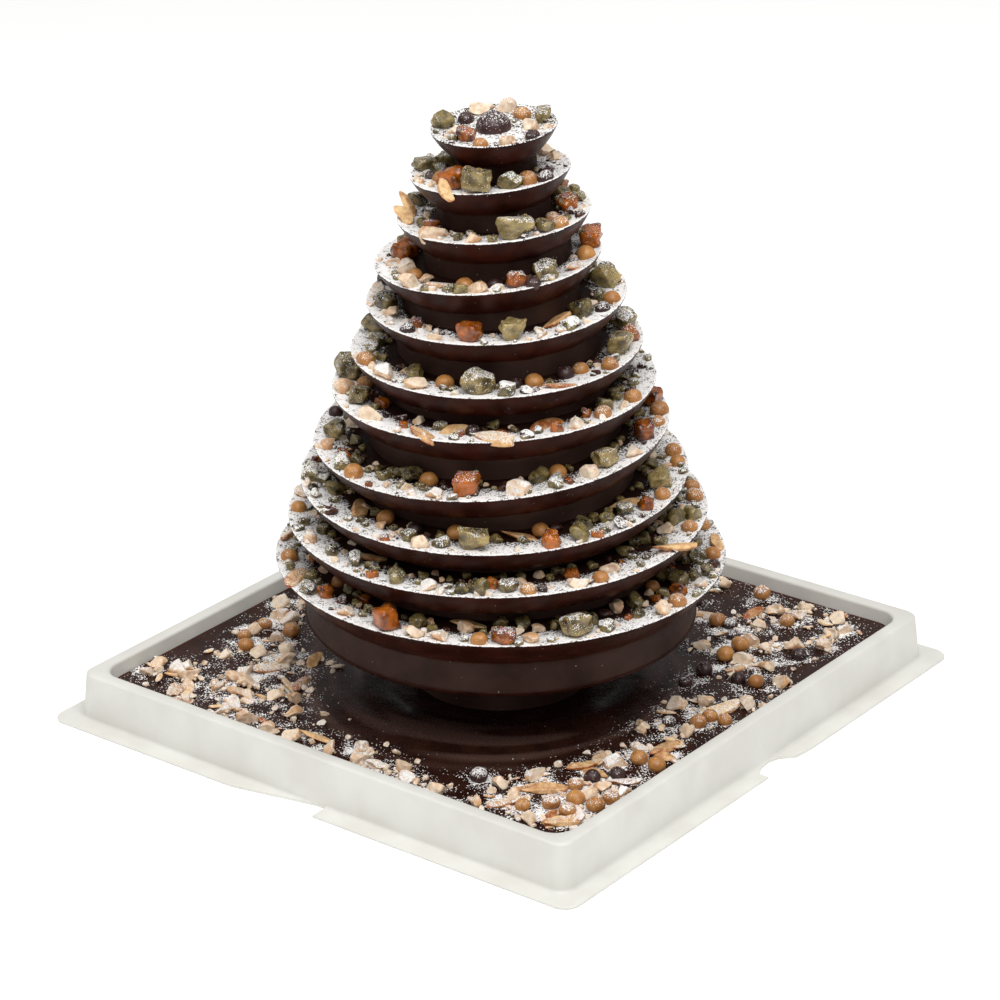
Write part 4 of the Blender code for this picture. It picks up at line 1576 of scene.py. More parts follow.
@dataclass
class Tier:
    """One moulded tier: dished top, thin lip, flared glossy band and narrower satin foot.

    A section is a list of (out, up) points in millimetres: the lip's from the rim, the shoulder's
    from the band's lower edge, and the heel's from the body's lower edge.  Waves are how far an
    edge wanders, and grains how often.
    """

    plan: TreePlan
    index: int
    steps: int = 176
    top_rings: int = 14
    band_rings: int = 9
    rim_flat: float = 1.2 * MM
    lip_section: Pairs = (
        *((-0.70, 0.0), (-0.35, 0.05), (-0.0875, -0.14), (0.0, -0.35), (-0.0875, -0.63)),
    )
    lip_foot: tuple[float, float] = (-0.105 * MM, -0.63 * MM)
    bulge: float = 0.7 * MM
    shoulder_section: Pairs = ((0.15, -0.5), (-0.3, -1.1), (0.0, -3.0))
    body_middle: float = 19.0 * MM
    heel_section: Pairs = ((-0.1, 0.0), (0.5, -0.5), (0.1, -1.4), (-1.6, -2.8))
    underside_ring: float = 40.0 * MM
    foot_section: Pairs = ((0.4, -0.35), (0.0, -0.9))
    foot_flare: float = 0.2 * MM
    lip_wave: float = 0.30 * MM
    lip_lift: float = 0.16 * MM
    edge_wave: float = 0.55 * MM
    edge_out_mm: float = 0.35
    body_wave_mm: float = 0.15
    wave_reach: float = 1.6 * MM
    lip_grains: tuple[float, float] = (11.0 * MM, 2.6 * MM)
    edge_grains: tuple[float, float] = (7.0 * MM, 4.0 * MM)
    body_grain: float = 16.0 * MM
    # painted sheen and light on the shaded feet, more on each lower tier, and on the lowest tier's body
    bloom_grain: float = 18.0 * MM
    foot_sheen: float = 0.075
    body_sheen: float = 0.20
    underside_gloss: float = 0.8
    sharp: float = 50.0

    def top(self) -> list[tuple[float, float]]:
        """Return the dished top's profile, with rings close together where the sugar lies."""
        plan = self.plan
        inner = plan.foot(self.index - 1) if self.index > 0 else 6.0 * MM
        width = plan.radius(self.index) - self.rim_flat - inner
        rings = [0.0, 0.5 * inner, inner - 2.0 * MM]
        rings += [inner + width * step / (self.top_rings - 1) for step in range(self.top_rings)]
        return [(ring, plan.floor(self.index, ring)) for ring in rings]

    def section(
        self, points: Pairs, out: float, up: float
    ) -> list[tuple[float, float]]:
        """Return a section's points from where it starts, in metres."""
        return [(out + point_out * MM, up + point_up * MM) for point_out, point_up in points]

    def profile(self) -> list[tuple[float, float]]:
        """Return the whole outline, from the middle of the top to the middle of the foot."""
        plan = self.plan
        radius = plan.radius(self.index)
        inset, height = plan.band(self.index)
        lip_out, lip_up = self.lip_foot
        points = self.top() + self.section(self.lip_section, radius, 0.0)
        for step in range(1, self.band_rings + 1):
            share = step / self.band_rings
            out = radius + lip_out - inset * share + self.bulge * math.sin(math.pi * share)
            points.append((out, lip_up - (height + lip_up) * share))
        if plan.is_lowest(self.index):
            body = plan.body_radius
            points += self.section(self.shoulder_section, body, -height)
            points += [(body, -self.body_middle)]
            points += self.section(self.heel_section, body, -plan.body_drop)
            flat = (plan.underside_radius, self.underside_ring, 0.0)
            return points + [(out, -plan.underside_drop) for out in flat]
        foot = plan.foot(self.index)
        drop = plan.drop(self.index)
        points += [(radius - inset - 0.5 * MM, -height - 0.25 * MM)]
        points += self.section(self.foot_section, foot, -height)
        return points + [(foot, -0.5 * (height + drop)), (foot + self.foot_flare, -drop), (0.0, -drop)]

    def uneven(self, bm: BMesh) -> None:
        """Make the lip and the band's lower edge wander, as moulded and demoulded chocolate does.

        Args:
            bm: The tier's mesh, in its own frame.
        """
        radius = self.plan.radius(self.index)
        height = self.plan.band(self.index)[1]
        offset = Vector((self.index * 7.3, 0.0, 0.0))
        coarse_grain, fine_grain = self.lip_grains
        ragged_grain, out_grain = self.edge_grains
        for vert in bm.verts:
            away = math.hypot(vert.co.x, vert.co.y)
            if away < 0.5 * radius:
                continue
            around = Vector((vert.co.x, vert.co.y, 0.0)) / away
            lip = max(0.0, 1.0 - abs(away - radius) / self.wave_reach)
            coarse = noise.noise(around * radius / coarse_grain + offset)
            fine = noise.noise(around * radius / fine_grain - offset)
            vert.co -= around * lip * self.lip_wave * (abs(fine) + 0.6 * abs(coarse))
            vert.co.z += lip * self.lip_lift * coarse
            edge = max(0.0, 1.0 - abs(vert.co.z + height) / self.wave_reach)
            ragged = noise.noise(around * radius / ragged_grain + 2.0 * offset)
            vert.co.z += edge * self.edge_wave * ragged
            pushed = noise.noise(around * radius / out_grain - 2.0 * offset)
            vert.co += around * edge * self.edge_out_mm * MM * pushed
            body = noise.noise(vert.co / self.body_grain + offset)
            vert.co += around * self.body_wave_mm * MM * body

    def finish(self, bm: BMesh) -> None:
        """Say where the tier is dusted, where it is glossy and where a paler sheen is painted.

        Args:
            bm: The tier's mesh, in its own frame.
        """
        plan = self.plan
        dust, band, bloom = float_layers(bm, "dust", "band", "bloom")
        height = plan.band(self.index)[1]
        sheened = self.body_sheen if plan.is_lowest(self.index) else self.foot_sheen * self.index
        for vert in bm.verts:
            away = math.hypot(vert.co.x, vert.co.y)
            if vert.co.z > plan.floor(self.index, away) - 0.25 * MM:
                vert[dust] = plan.sieved(self.index, away, math.atan2(vert.co.y, vert.co.x))
            elif vert.co.z > -height - 0.4 * MM:
                vert[band] = 1.0
            elif vert.co.z < -plan.body_drop - 0.2 * MM:
                vert[band] = self.underside_gloss
            else:
                # painted sheen and light: faces below the band, shaded by it, are painted paler
                drift = noise.noise(vert.co / self.bloom_grain + Vector((0.0, 0.0, 3.0 * self.index)))
                vert[bloom] = sheened * (1.0 + drift)

    def build(self, material: Material) -> None:
        """Build the tier in its place, cut off just above the top of the one below.

        Args:
            material: The chocolate.
        """
        plan = self.plan
        bm = turned(self.profile(), self.steps)
        self.uneven(bm)
        matrix = plan.matrix(self.index)
        if not plan.is_lowest(self.index):
            below = matrix.inverted() @ plan.matrix(self.index + 1)
            level = below @ Vector((0.0, 0.0, GAP - plan.dish_depth))
            cut_away(bm, level, -(below.to_3x3() @ Vector((0.0, 0.0, 1.0))))
        self.finish(bm)
        bm.transform(matrix)
        name = f"tier_{self.index + 1:02d}"
        to_piece(bm, f"moulded_{name}", material, "dark_chocolate", self.sharp, [name])


@dataclass
class Stem:
    """The short stem under the lowest tier, a little wider at its foot, with painted highlights round it."""

    plan: TreePlan
    radius: float = 35.4 * MM
    foot_radius: float = 36.2 * MM
    slab_z: float = 14.6 * MM
    steps: int = 120
    rings: int = 8
    wave: float = 0.12 * MM
    wave_grain: float = 9.0 * MM
    bloom: float = 0.4
    bloom_range: tuple[float, float] = (0.9, 1.1)
    bloom_patches: float = 1.7

    def build(self, material: Material) -> None:
        """Build the stem, between the slab and the lowest tier's underside.

        Args:
            material: The chocolate.
        """
        plan = self.plan
        up = Vector((0.0, 0.0, 1.0))
        high = plan.rim_heights[-1] * MM
        profile = [(0.0, high)]
        for step in range(self.rings + 1):
            share = step / self.rings
            out = self.radius + (self.foot_radius - self.radius) * share
            profile.append((out, high - (high - self.slab_z) * share))
        bm = turned([*profile, (0.0, self.slab_z)], self.steps)
        bmesh.ops.translate(bm, verts=bm.verts[:], vec=(plan.x, plan.y, 0.0))
        lowest = plan.matrix(plan.count - 1)
        under = lowest @ Vector((0.0, 0.0, -plan.underside_drop - GAP))
        cut_away(bm, under, lowest.to_3x3() @ up)
        cut_away(bm, Vector((0.0, 0.0, self.slab_z + GAP)), -up)
        roughen(bm, self.wave, self.wave_grain, Vector((3.0, 1.0, 2.0)))
        # painted highlights: paler patches round the stem stand in for the lamps' reflections on it
        (bloom,) = float_layers(bm, "bloom")
        middle, swing = self.bloom_range
        for vert in bm.verts:
            around = Vector((vert.co.x - plan.x, vert.co.y - plan.y, 0.0)).normalized()
            vert[bloom] = self.bloom * (middle + swing * noise.noise(around * self.bloom_patches))
        to_piece(bm, "moulded_stem", material, "dark_chocolate", nodes=["stem"])


# ---- the toppings


@dataclass
class ToppingForm:
    """One form of a topping, its length along X, before it is stretched to fill a unit box.

    A form's "tint" is 1 on its outside and 0 on its cut faces, which are paler; a pearl's tint is a
    painted shade instead, deeper towards its bottom.  All its numbers are shares of its size.  Most
    forms start from a ball, finely subdivided.
    """

    rng: random.Random
    finely: int
    bm: BMesh = field(default_factory=tinted_mesh)
    nut_bends: tuple[float, ...] = (0.0, 0.0, 0.7, -0.9)
    hollow_chance: float = 0.2
    hollow_radius: float = 0.26
    hollow_depth: float = 0.16
    sliver_taper: float = 0.35
    sliver_end_chance: float = 0.6
    block_skew: float = 0.16
    block_edges: tuple[float, ...] = (0.30, 0.18)
    lump_press: float = 0.95
    lobe_grain: float = 0.34

    def ball(self, finer: int = 0) -> None:
        """Start from a ball, all of it outside, perhaps finer than the form's own fineness."""
        bmesh.ops.create_icosphere(self.bm, subdivisions=self.finely + finer, radius=0.5)
        self.tint(lambda place: 1.0)

    def tint(self, rule: Callable[[Vector], float]) -> None:
        """Tint each vertex of the form.

        Args:
            rule: Gives the tint for a vertex's place.
        """
        layer = self.bm.verts.layers.float["tint"]
        for vert in self.bm.verts:
            vert[layer] = rule(vert.co)

    def wrinkle(self, *reliefs: tuple[float, float]) -> None:
        """Roughen the form once for each relief, given as (depth, grain)."""
        for depth, grain in reliefs:
            roughen(self.bm, depth, grain, random_offset(self.rng))

    def press(self, normal: Vector, low: float, high: float, share: float = 1.0) -> float:
        """Flatten one side.

        Args:
            normal: The way it faces.
            low: The least that the plane's distance from the middle may be.
            high: The most that it may be.
            share: How far the side is pressed, from 0 to 1.

        Returns:
            The plane's distance from the middle.
        """
        reach = self.rng.uniform(low, high)
        flatten(self.bm, normal, reach, share)
        return reach

    def pearl(self) -> None:
        """Make a pearl that is almost round, a little flat where it lies."""
        self.ball()
        # painted shade: the pearl is tinted deeper towards its bottom and paler on top
        self.tint(lambda place: 0.6 - place.z)
        self.wrinkle((0.035, 0.55), (0.012, 0.16))
        for vert in self.bm.verts:
            vert.co.z = max(vert.co.z, -0.44)

    def chopped(self) -> None:
        """Make a chopped nut: part of a rounded kernel between flat broken faces, some hollow."""
        rng = self.rng
        self.ball()
        split = random_direction(rng)
        split.z = abs(split.z)
        reach = self.press(split, 0.03, 0.22)
        for _ in range(rng.randint(3, 5)):
            self.press(random_direction(rng), 0.22, 0.40)
        if rng.random() < self.hollow_chance:
            for vert in self.bm.verts:
                along = vert.co.dot(split)
                away = (vert.co - split * along).length
                if abs(along - reach) < 0.02 and away < self.hollow_radius:
                    vert.co -= split * self.hollow_depth * (1.0 - (away / self.hollow_radius) ** 2)
        bend = rng.choice(self.nut_bends)
        for vert in self.bm.verts:
            vert.co.y += bend * vert.co.x**2
        self.wrinkle((0.08, 0.30), (0.03, 0.09))

    def sliver(self) -> None:
        """Make an almond sliver: a thin boat with a pale cut face, pointed at one end."""
        rng = self.rng
        self.ball()
        side = rng.choice((1.0, 1.0, -1.0))
        self.press(Vector((0.0, rng.uniform(-0.4, 0.4), side)).normalized(), 0.02, 0.22)
        self.press(Vector((0.15, rng.choice((-1.0, 1.0)), 0.2)).normalized(), 0.22, 0.42)
        if rng.random() < self.sliver_end_chance:
            self.press(Vector((1.0, rng.uniform(-0.5, 0.5), 0.0)).normalized(), 0.26, 0.38)
        bend = rng.uniform(-0.7, 0.7)
        lift = rng.uniform(-0.5, 0.5)
        for vert in self.bm.verts:
            tip = 1.0 - self.sliver_taper * max(0.0, -2.0 * vert.co.x) ** 2
            vert.co.y = vert.co.y * tip + bend * vert.co.x**2
            vert.co.z = vert.co.z * tip + lift * vert.co.x**2
        self.wrinkle((0.05, 0.25), (0.015, 0.07))

    def block(self, softness: float, dents: float) -> None:
        """Make a diced block with soft edges and dented sides, deeper in colour at its corners.

        Args:
            softness: Bevel width.
            dents: Depth of its dents.
        """
        bm = self.bm
        bmesh.ops.create_cube(bm, size=1.0)
        for vert in bm.verts:
            vert.co += Vector([self.rng.uniform(-self.block_skew, self.block_skew) for _ in range(3)])
        bevel = {"offset_type": "OFFSET", "affect": "EDGES", "segments": 2, "profile": 0.5, "material": -1}
        bmesh.ops.bevel(bm, geom=bm.edges[:], offset=softness, **bevel)
        bmesh.ops.triangulate(bm, faces=bm.faces[:])
        for longest in self.block_edges:
            long_edges = [edge for edge in bm.edges if edge.calc_length() > longest]
            bmesh.ops.subdivide_edges(bm, edges=long_edges, cuts=1)
            bmesh.ops.triangulate(bm, faces=bm.faces[:])
        self.wrinkle((dents, 0.42), (0.3 * dents, 0.12))
        self.tint(lambda place: clamp((place.length - 0.50) / 0.22))

    def lump(self, lobes: float, finer: int = 0) -> None:
        """Make a candied lump, roughly diced, with lobes and wrinkles.

        Args:
            lobes: Height of its lobes.
            finer: How much finer it is than the other forms.
        """
        self.ball(finer)
        for axis in range(3):
            for side in (-1.0, 1.0):
                normal = random_direction(self.rng) * 0.35
                normal[axis] += side
                self.press(normal.normalized(), 0.26, 0.36, self.lump_press)
        for _ in range(3):
            self.press(random_direction(self.rng), 0.30, 0.42, self.lump_press)
        offset = random_offset(self.rng)
        self.tint(lambda place: 0.5 - 0.9 * noise.noise(place / self.lobe_grain + offset))
        roughen(self.bm, lobes, self.lobe_grain, offset)
        self.wrinkle((0.25 * lobes, 0.14))

    def make(self, topping: Topping) -> bpy.types.Mesh:
        """Make the form of a kind.

        Args:
            topping: The kind.

        Returns:
            Its mesh, which fills a unit box.
        """
        match topping:
            case Topping.CARAMEL_PEARL | Topping.DARK_PEARL:
                self.pearl()
            case Topping.CHOPPED_NUT | Topping.DARK_PIECE:
                self.chopped()
            case Topping.ALMOND_FLAKE:
                self.sliver()
            case Topping.CANDIED_PEEL:
                self.block(softness=0.20, dents=0.16)
            case Topping.ORANGE_CUBE:
                self.block(softness=0.17, dents=0.13)
            case Topping.GREEN_LUMP:
                self.lump(lobes=0.11, finer=1)
            case Topping.CANDIED_FRUIT:
                self.lump(lobes=0.09)
        fill_box(self.bm)
        return to_mesh(self.bm, topping.name.lower())


@dataclass
class ToppingShapes:
    """The forms of the toppings, each made a few times over; crumbs have coarser ones."""

    variants: int = 9
    coarse: int = 2
    fine: int = 3
    made: dict[tuple[Topping, int], list[bpy.types.Mesh]] = field(default_factory=dict)

    def pick(self, topping: Topping, number: int, is_crumb: bool) -> bpy.types.Mesh:
        """Return one of a kind's forms; they are made when first asked for.

        Args:
            topping: The kind.
            number: Which of its forms.
            is_crumb: Whether it is so small that a coarser form will do.

        Returns:
            The form.
        """
        finely = self.coarse if is_crumb else self.fine
        if (topping, finely) not in self.made:
            rng = random.Random(SEED + ord(topping.value))
            forms = (ToppingForm(rng, finely) for _ in range(self.variants))
            self.made[topping, finely] = [form.make(topping) for form in forms]
        return self.made[topping, finely][number % self.variants]

    def clear(self) -> None:
        """Remove the forms once every piece is made."""
        for mesh in [mesh for meshes in self.made.values() for mesh in meshes]:
            bpy.data.meshes.remove(mesh)
        self.made.clear()


@dataclass
class Toppings:
    """Everything that lies on the tiers and the slab, one piece for each kind.

    Some pieces stand out, listed by tier and angle: peel that is enlarged, with how much and its
    tint, flakes that are stood up, with how steeply, and flakes hung over a rim, with how far out
    and down and their size.
    """

    plan: TreePlan
    slab: Slab
    shapes: ToppingShapes = field(default_factory=ToppingShapes)
    roll: float = 26.0
    pitch: float = 13.0
    uneven: float = 0.16
    pearl_sink: float = 0.9 * MM
    near: float = 7.0
    enlarged: tuple[tuple[int, float, float, float], ...] = (
        *((1, 40.0, 1.45, 0.10), (1, 180.0, 1.20, 0.50)),
        *((3, -10.0, 1.25, 0.15), (3, 107.0, 1.15, 0.60), (3, 185.0, 1.40, 0.10)),
    )
    stood: tuple[tuple[int, float, float], ...] = ((2, -15.0, 28.0), (2, 0.0, 24.0))
    stood_dust: float = 0.08
    hung: tuple[tuple[int, float, float, float, float], ...] = ((1, 55.0, -1.2, 24.0, 0.82),)
    hung_turn: float = 0.9
    hung_tint: float = 0.1
    hung_dust: float = 0.15
    crumb_kinds: tuple[Topping, ...] = (
        *(Topping.CHOPPED_NUT,) * 2,
        *(Topping.DARK_PIECE, Topping.CANDIED_FRUIT),
    )
    crumb_step: float = 5.0 * MM
    crumb_sizes: tuple[float, float] = (0.18, 0.5)
    crumb_lift: float = 1.6 * MM
    crumb_dust: float = 0.7
    crumbs_each: int = 5
    crumb_throw: float = 5.5 * MM
    splinters: float = 0.2
    sharp: float = 42.0
    candied_sharp: float = 80.0
    ball_turns: int = 5
    ball_tint: float = 0.3
    ball_dust: float = 0.27

    def lean(self, rng: random.Random, stood: float = 0.0) -> Matrix:
        """Lean a piece at random.

        Args:
            rng: Source of its chances.
            stood: How steeply it stands, in degrees, if it is stood up.

        Returns:
            The lean.
        """
        roll = Matrix.Rotation(math.radians(rng.uniform(-self.roll, self.roll)), 4, "X")
        pitch = stood if stood else rng.uniform(-self.pitch, self.pitch)
        return Matrix.Rotation(math.radians(pitch), 4, "Y") @ roll

    def is_near(self, spot: Spot, degrees: float) -> bool:
        """Say whether a piece lies at an angle round its tier."""
        return abs(math.degrees(spot.angle) - degrees) < self.near

    def on_tiers(self) -> Iterator[Place]:
        """Yield the places of the pieces on the tiers."""
        plan = self.plan
        numbers = dict.fromkeys(LUMPS, 0)
        for index in range(plan.count):
            matrix = plan.matrix(index)
            rng = random.Random(TIER_SEED + index)
            for spot in [*plan.laid(index), *plan.fillers(index)]:
                topping, size = spot.topping, spot.size
                kind = KINDS[topping]
                dust = plan.sieved(index, spot.radius, spot.angle) * rng.random() ** 1.5 * kind.bare
                lift = spot.floor + 0.5 * kind.height * MM * size * kind.grown[2] - plan.sink
                number, tint = 0, None
                lean = self.lean(rng)
                if topping in PEARLS:
                    lift -= self.pearl_sink
                if topping in LUMPS:
                    numbers[topping] += 1
                    number = numbers[topping]
                    lean = Matrix.Identity(4)
                for tier, degrees, larger, own_tint in self.enlarged:
                    if tier == index and topping is Topping.CANDIED_PEEL and self.is_near(spot, degrees):
                        lift += 0.5 * (larger - 1.0) * kind.height * MM * size
                        size *= larger
                        tint = own_tint
                for tier, degrees, steepness in self.stood:
                    if tier == index and topping is Topping.ALMOND_FLAKE and self.is_near(spot, degrees):
                        lean = self.lean(rng, steepness)
                        dust = self.stood_dust
                        lift += 0.3 * kind.length * MM * math.sin(math.radians(steepness))
                place = moved(matrix, polar(spot.radius, spot.angle, lift), spot.turn) @ lean
                yield Place(topping, place, size, dust, number, tint)

    def on_slab(self) -> Iterator[Place]:
        """Yield the places of the pieces on the slab."""
        rng = random.Random(SLAB_SEED)
        middles = self.slab.middles()
        for topping, x, y, size, turn in self.slab.spots():
            kind = KINDS[topping]
            dust = self.slab.dust(x, y, middles) * rng.uniform(0.3, 1.2) * kind.bare
            lift = self.slab.height(x, y) + 0.5 * kind.height * MM * size - self.plan.sink
            if topping in PEARLS:
                lift -= self.pearl_sink
            place = moved(Matrix.Identity(4), Vector((x, y, lift)), turn) @ self.lean(rng)
            yield Place(topping, place, size, dust)

    def tier_crumbs(self) -> Iterator[Place]:
        """Yield the crumbs of nut and fruit that fell between the larger pieces of the tiers."""
        plan = self.plan
        for index in range(plan.count):
            matrix = plan.matrix(index)
            rng = random.Random(CRUMB_SEED + index)
            radius = plan.radius(index)
            inner = plan.inner(index, 0.3)
            for _ in range(int(math.tau * radius / self.crumb_step)):
                away = radius - 1.5 * MM - (radius - inner - 3.5 * MM) * rng.random() ** 1.5
                angle = rng.uniform(0.0, math.tau)
                size = rng.uniform(*self.crumb_sizes)
                lift = plan.floor(index, away) + self.crumb_lift * size
                place = moved(matrix, polar(away, angle, lift), rng.uniform(0.0, math.tau))
                dust = plan.sieved(index, away, angle) * self.crumb_dust
                yield Place(rng.choice(self.crumb_kinds), place, size, dust)

    def over_rims(self) -> Iterator[Place]:
        """Yield the flakes that hang over a rim."""
        for index, degrees, out, down, size in self.hung:
            angle = math.radians(degrees)
            edge = polar(self.plan.radius(index) + out * MM, angle, 0.6 * MM)
            over = Matrix.Rotation(angle + self.hung_turn, 4, "Z")
            over = over @ Matrix.Rotation(math.radians(down), 4, "Y")
            place = self.plan.matrix(index) @ Matrix.Translation(edge) @ over
            yield Place(Topping.ALMOND_FLAKE, place, size, self.hung_dust, 0, self.hung_tint)

    def slab_crumbs(self) -> Iterator[Place]:
        """Yield the crumbs round the nuts and flakes on the slab."""
        rng = random.Random(SLAB_CRUMB_SEED)
        edge = self.slab.floor_half - 2.0 * MM
        for topping, x, y, _, _ in self.slab.spots():
            if topping not in (Topping.CHOPPED_NUT, Topping.ALMOND_FLAKE):
                continue
            for _ in range(self.crumbs_each):
                near_x = clamp(x + rng.gauss(0.0, self.crumb_throw), -edge, edge)
                near_y = clamp(y + rng.gauss(0.0, self.crumb_throw), -edge, edge)
                size = rng.uniform(*self.crumb_sizes)
                lift = self.slab.height(near_x, near_y) + self.crumb_lift * size
                turn = rng.uniform(0.0, math.tau)
                place = moved(Matrix.Identity(4), Vector((near_x, near_y, lift)), turn)
                splinter = rng.random() < self.splinters
                kind = Topping.ALMOND_FLAKE if splinter else Topping.CHOPPED_NUT
                yield Place(kind, place, size, 0.2 + 0.4 * rng.random())

    def places(self) -> Iterator[Place]:
        """Yield the place of everything but the ball on top."""
        yield from self.on_tiers()
        yield from self.on_slab()
        yield from self.tier_crumbs()
        yield from self.over_rims()
        yield from self.slab_crumbs()

    def build(self) -> None:
        """Build one piece for each kind, and the ball on top."""
        bins = {topping: Gathering() for topping in Topping}
        nodes: dict[Topping, list[str]] = {topping: [] for topping in Topping}
        rng = random.Random(PIECE_SEED)
        for place in self.places():
            kind = KINDS[place.topping]
            uneven = 0.0 if kind.roughness == 0.0 or place.number else self.uneven
            sides = [side * rng.uniform(1.0 - uneven, 1.0 + uneven) * MM for side in kind.grown]
            lengths = zip((kind.length, kind.width, kind.height), sides)
            scale = Matrix.Diagonal((*(length * side for length, side in lengths), 1.0))
            number = rng.randrange(self.shapes.variants)
            mesh = self.shapes.pick(place.topping, number, place.size < self.crumb_sizes[1])
            whole = place.matrix @ Matrix.Scale(place.size, 4) @ scale
            tint = rng.random() if place.tint is None else place.tint
            bins[place.topping].add(mesh, whole, tint, place.dust)
            if place.number:
                nodes[place.topping].append(f"{place.topping.name.lower()}_{place.number:02d}")
        for topping, gathering in bins.items():
            finish = FINISHES[topping]
            sharp = self.candied_sharp if topping in CANDIED else self.sharp
            name = f"laid_{topping.name.lower()}s"
            to_piece(gathering.gathered(), name, finish.build(), finish.slot, sharp, nodes[topping])
        self.top_ball()
        self.shapes.clear()

    def top_ball(self) -> None:
        """Build the dark ball in the middle of the top tier."""
        plan = self.plan
        gathering = Gathering()
        bm = tinted_mesh()
        bmesh.ops.create_icosphere(bm, subdivisions=self.ball_turns, radius=1.0)
        roughen(bm, 0.03, 0.6, Vector((4.0, 2.0, 9.0)))
        mesh = to_mesh(bm, "ball")
        lift = (plan.ball_radius - plan.ball_flat) * plan.ball_squash - plan.dish_depth
        sides = (plan.ball_radius, plan.ball_radius, plan.ball_radius * plan.ball_squash, 1.0)
        whole = plan.matrix(0) @ Matrix.Translation((0.0, 0.0, lift)) @ Matrix.Diagonal(sides)
        gathering.add(mesh, whole, self.ball_tint, self.ball_dust)
        bpy.data.meshes.remove(mesh)
        ball = gathering.gathered()
        to_piece(ball, "top_ball_whole", TOP_BALL.build(), TOP_BALL.slot, 50.0, ["top_ball"])


@dataclass
class SugarGrains:
    """Coarser grains of icing sugar that stand up from the dust, real grains at their true size.

    They are clumps, 0.2 to 0.6 mm across, and their sizes are listed as radii in millimetres.
    """

    plan: TreePlan
    slab: Slab
    tier_grains: int = 5200
    slab_grains: int = 3200
    sizes: tuple[float, float] = (0.12, 0.32)
    widths: tuple[float, float] = (0.6, 1.0)
    heights: tuple[float, float] = (0.5, 0.9)
    tier_reach: float = 13.0 * MM
    top_reach: float = 8.0 * MM
    rim_spare: float = 0.2 * MM
    slab_throw: float = 7.0 * MM
    sharp: float = 20.0

    def on_tiers(self, rng: random.Random) -> Iterator[Vector]:
        """Lay grains on the tiers, more of them where the dust lies thick.

        Args:
            rng: Source of their chances.

        Yields:
            Where each one lies.
        """
        plan = self.plan
        weights = [plan.radius(index) for index in range(plan.count)]
        made = 0
        while made < self.tier_grains:
            index = rng.choices(range(plan.count), weights)[0]
            radius = plan.radius(index)
            low = self.top_reach if index == 0 else radius - self.tier_reach
            away = rng.uniform(low, radius - self.rim_spare)
            angle = rng.uniform(0.0, math.tau)
            if rng.random() > plan.sieved(index, away, angle):
                continue
            made += 1
            yield plan.matrix(index) @ polar(away, angle, plan.floor(index, away))

    def on_slab(self, rng: random.Random) -> Iterator[Vector]:
        """Lay grains on the slab, round its pieces.

        Args:
            rng: Source of their chances.

        Yields:
            Where each one lies.
        """
        middles = self.slab.middles()
        edge = self.slab.floor_half - 1.0 * MM
        for _ in range(self.slab_grains):
            x, y = rng.choice(middles)
            x = clamp(x + rng.gauss(0.0, self.slab_throw), -edge, edge)
            y = clamp(y + rng.gauss(0.0, self.slab_throw), -edge, edge)
            yield Vector((x, y, self.slab.height(x, y)))

    def grown(self, places: Iterable[Vector], rng: random.Random) -> BMesh:
        """Lay a grain at each place and gather them into one mesh.

        Args:
            places: Where the grains lie.
            rng: Source of their sizes and turns.

        Returns:
            The mesh.
        """
        bm = tinted_mesh()
        bmesh.ops.create_icosphere(bm, subdivisions=1, radius=1.0)
        mesh = to_mesh(bm, "grain")
        gathering = Gathering()
        for spot in places:
            size = rng.uniform(*self.sizes) * MM
            sides = (size, size * rng.uniform(*self.widths), size * rng.uniform(*self.heights), 1.0)
            raised = spot + Vector((0.0, 0.0, 0.3 * size))
            place = moved(Matrix.Identity(4), raised, rng.uniform(0.0, math.tau))
            gathering.add(mesh, place @ Matrix.Diagonal(sides), 0.0, 1.0)
        bpy.data.meshes.remove(mesh)
        return gathering.gathered()

    def build(self) -> None:
        """Build the grains on the tiers and on the slab."""
        material = GRAINS.build()
        rng = random.Random(GRAIN_SEED)
        for name, places in (("sugar_on_tiers", self.on_tiers(rng)), ("sugar_on_slab", self.on_slab(rng))):
            to_piece(self.grown(places, rng), name, material, "icing_sugar", self.sharp)


# ---- the studio


def facing(place: Vector, target: Vector) -> Matrix:
    """Return the place of a camera or lamp that looks at a target."""
    return Matrix.Translation(place) @ (target - place).to_track_quat("-Z", "Y").to_matrix().to_4x4()


class Lamp(NamedTuple):
    """One softbox: its name, its place, its side, and its power in watts."""

    name: str
    place: tuple[float, float, float]
    side: float
    power: float


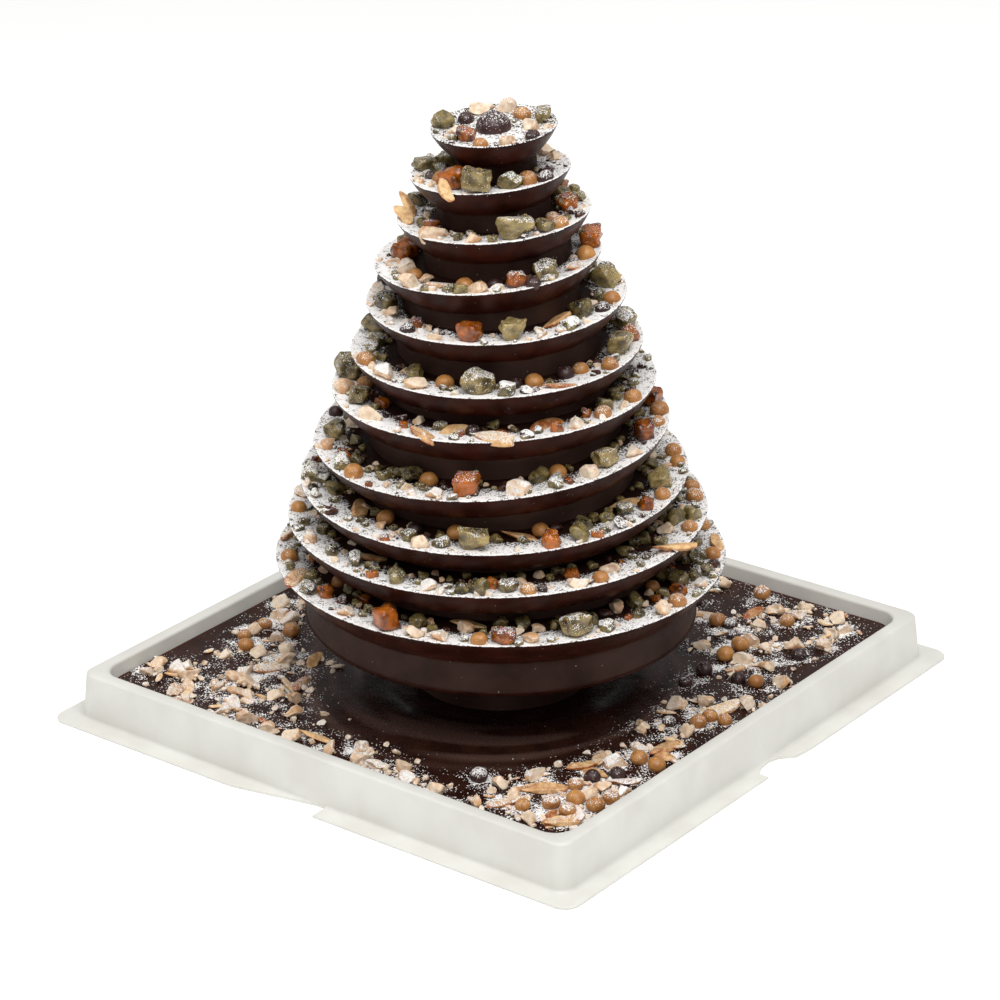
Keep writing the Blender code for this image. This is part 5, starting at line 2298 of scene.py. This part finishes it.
@dataclass
class Studio:
    """A pale floor, soft light and the camera."""

    camera_place: tuple[float, float, float] = (0.8325, -1.0466, 0.6704)
    camera_target: tuple[float, float, float] = (0.0082, -0.0120, 0.0904)
    camera_lens: float = 130.7
    camera_sensor: float = 36.0
    camera_clip: tuple[float, float] = (0.05, 50.0)
    camera_roll: float = math.radians(-1.16)
    lamp_target: tuple[float, float, float] = (0.0, 0.0, 0.1)
    lamps: tuple[Lamp, ...] = (
        Lamp("key", (1.06, -0.75, 2.25), 1.5, 36.0),
        Lamp("left", (-0.45, -1.22, 2.2), 1.4, 14.0),
        Lamp("top", (0.0, 0.4, 3.0), 2.4, 24.0),
    )
    backdrop_colour: str = "#F7F7F8"
    backdrop_light: float = 0.42
    floor_half: float = 9.0

    def floor(self) -> None:
        """Lay the floor."""
        bm = bmesh.new()
        bmesh.ops.create_grid(bm, x_segments=2, y_segments=2, size=self.floor_half)
        mesh = to_mesh(bm, "floor")
        mesh.materials.append(FLOOR.build())
        to_object("floor", mesh)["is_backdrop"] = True

    def camera(self) -> None:
        """Set the camera, which looks down a little over the front corner."""
        data = bpy.data.cameras.new("camera")
        data.lens = self.camera_lens
        data.sensor_width = self.camera_sensor
        data.clip_start, data.clip_end = self.camera_clip
        camera = to_object("camera", data)
        aimed = facing(Vector(self.camera_place), Vector(self.camera_target))
        camera.matrix_world = aimed @ Matrix.Rotation(self.camera_roll, 4, "Z")
        bpy.context.scene.camera = camera

    def light(self) -> None:
        """Hang the softboxes and light the surroundings."""
        for name, place, side, power in self.lamps:
            data = bpy.data.lights.new(name, "AREA")
            data.shape = "SQUARE"
            data.size = side
            data.energy = power
            to_object(name, data).matrix_world = facing(Vector(place), Vector(self.lamp_target))
        world = bpy.data.worlds.new("studio")
        world.use_nodes = True
        backdrop = {"Color": self.backdrop_colour, "Strength": self.backdrop_light}
        feed(world.node_tree, world.node_tree.nodes["Background"], backdrop)
        bpy.context.scene.world = world
        bpy.context.scene.view_settings.view_transform = "Standard"

    def build(self) -> None:
        """Set up the floor, the camera and the light."""
        self.floor()
        self.camera()
        self.light()


def main() -> None:
    """Build every sub-assembly in order."""
    logging.basicConfig(level=logging.INFO, format="%(message)s")
    plan = TreePlan()
    slab = Slab(plan)
    Tray().build()
    slab.build(POURED.build())
    moulded = ChocolateFinish().build()
    Stem(plan).build(moulded)
    for index in range(plan.count):
        Tier(plan, index).build(moulded)
    Toppings(plan, slab).build()
    SugarGrains(plan, slab).build()
    Studio().build()
    boxes = {"cad": CAD_BOX, "visual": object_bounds()}
    {name: [list(corner) for corner in box] for name, box in boxes.items()}


if __name__ == "__main__":
    main()
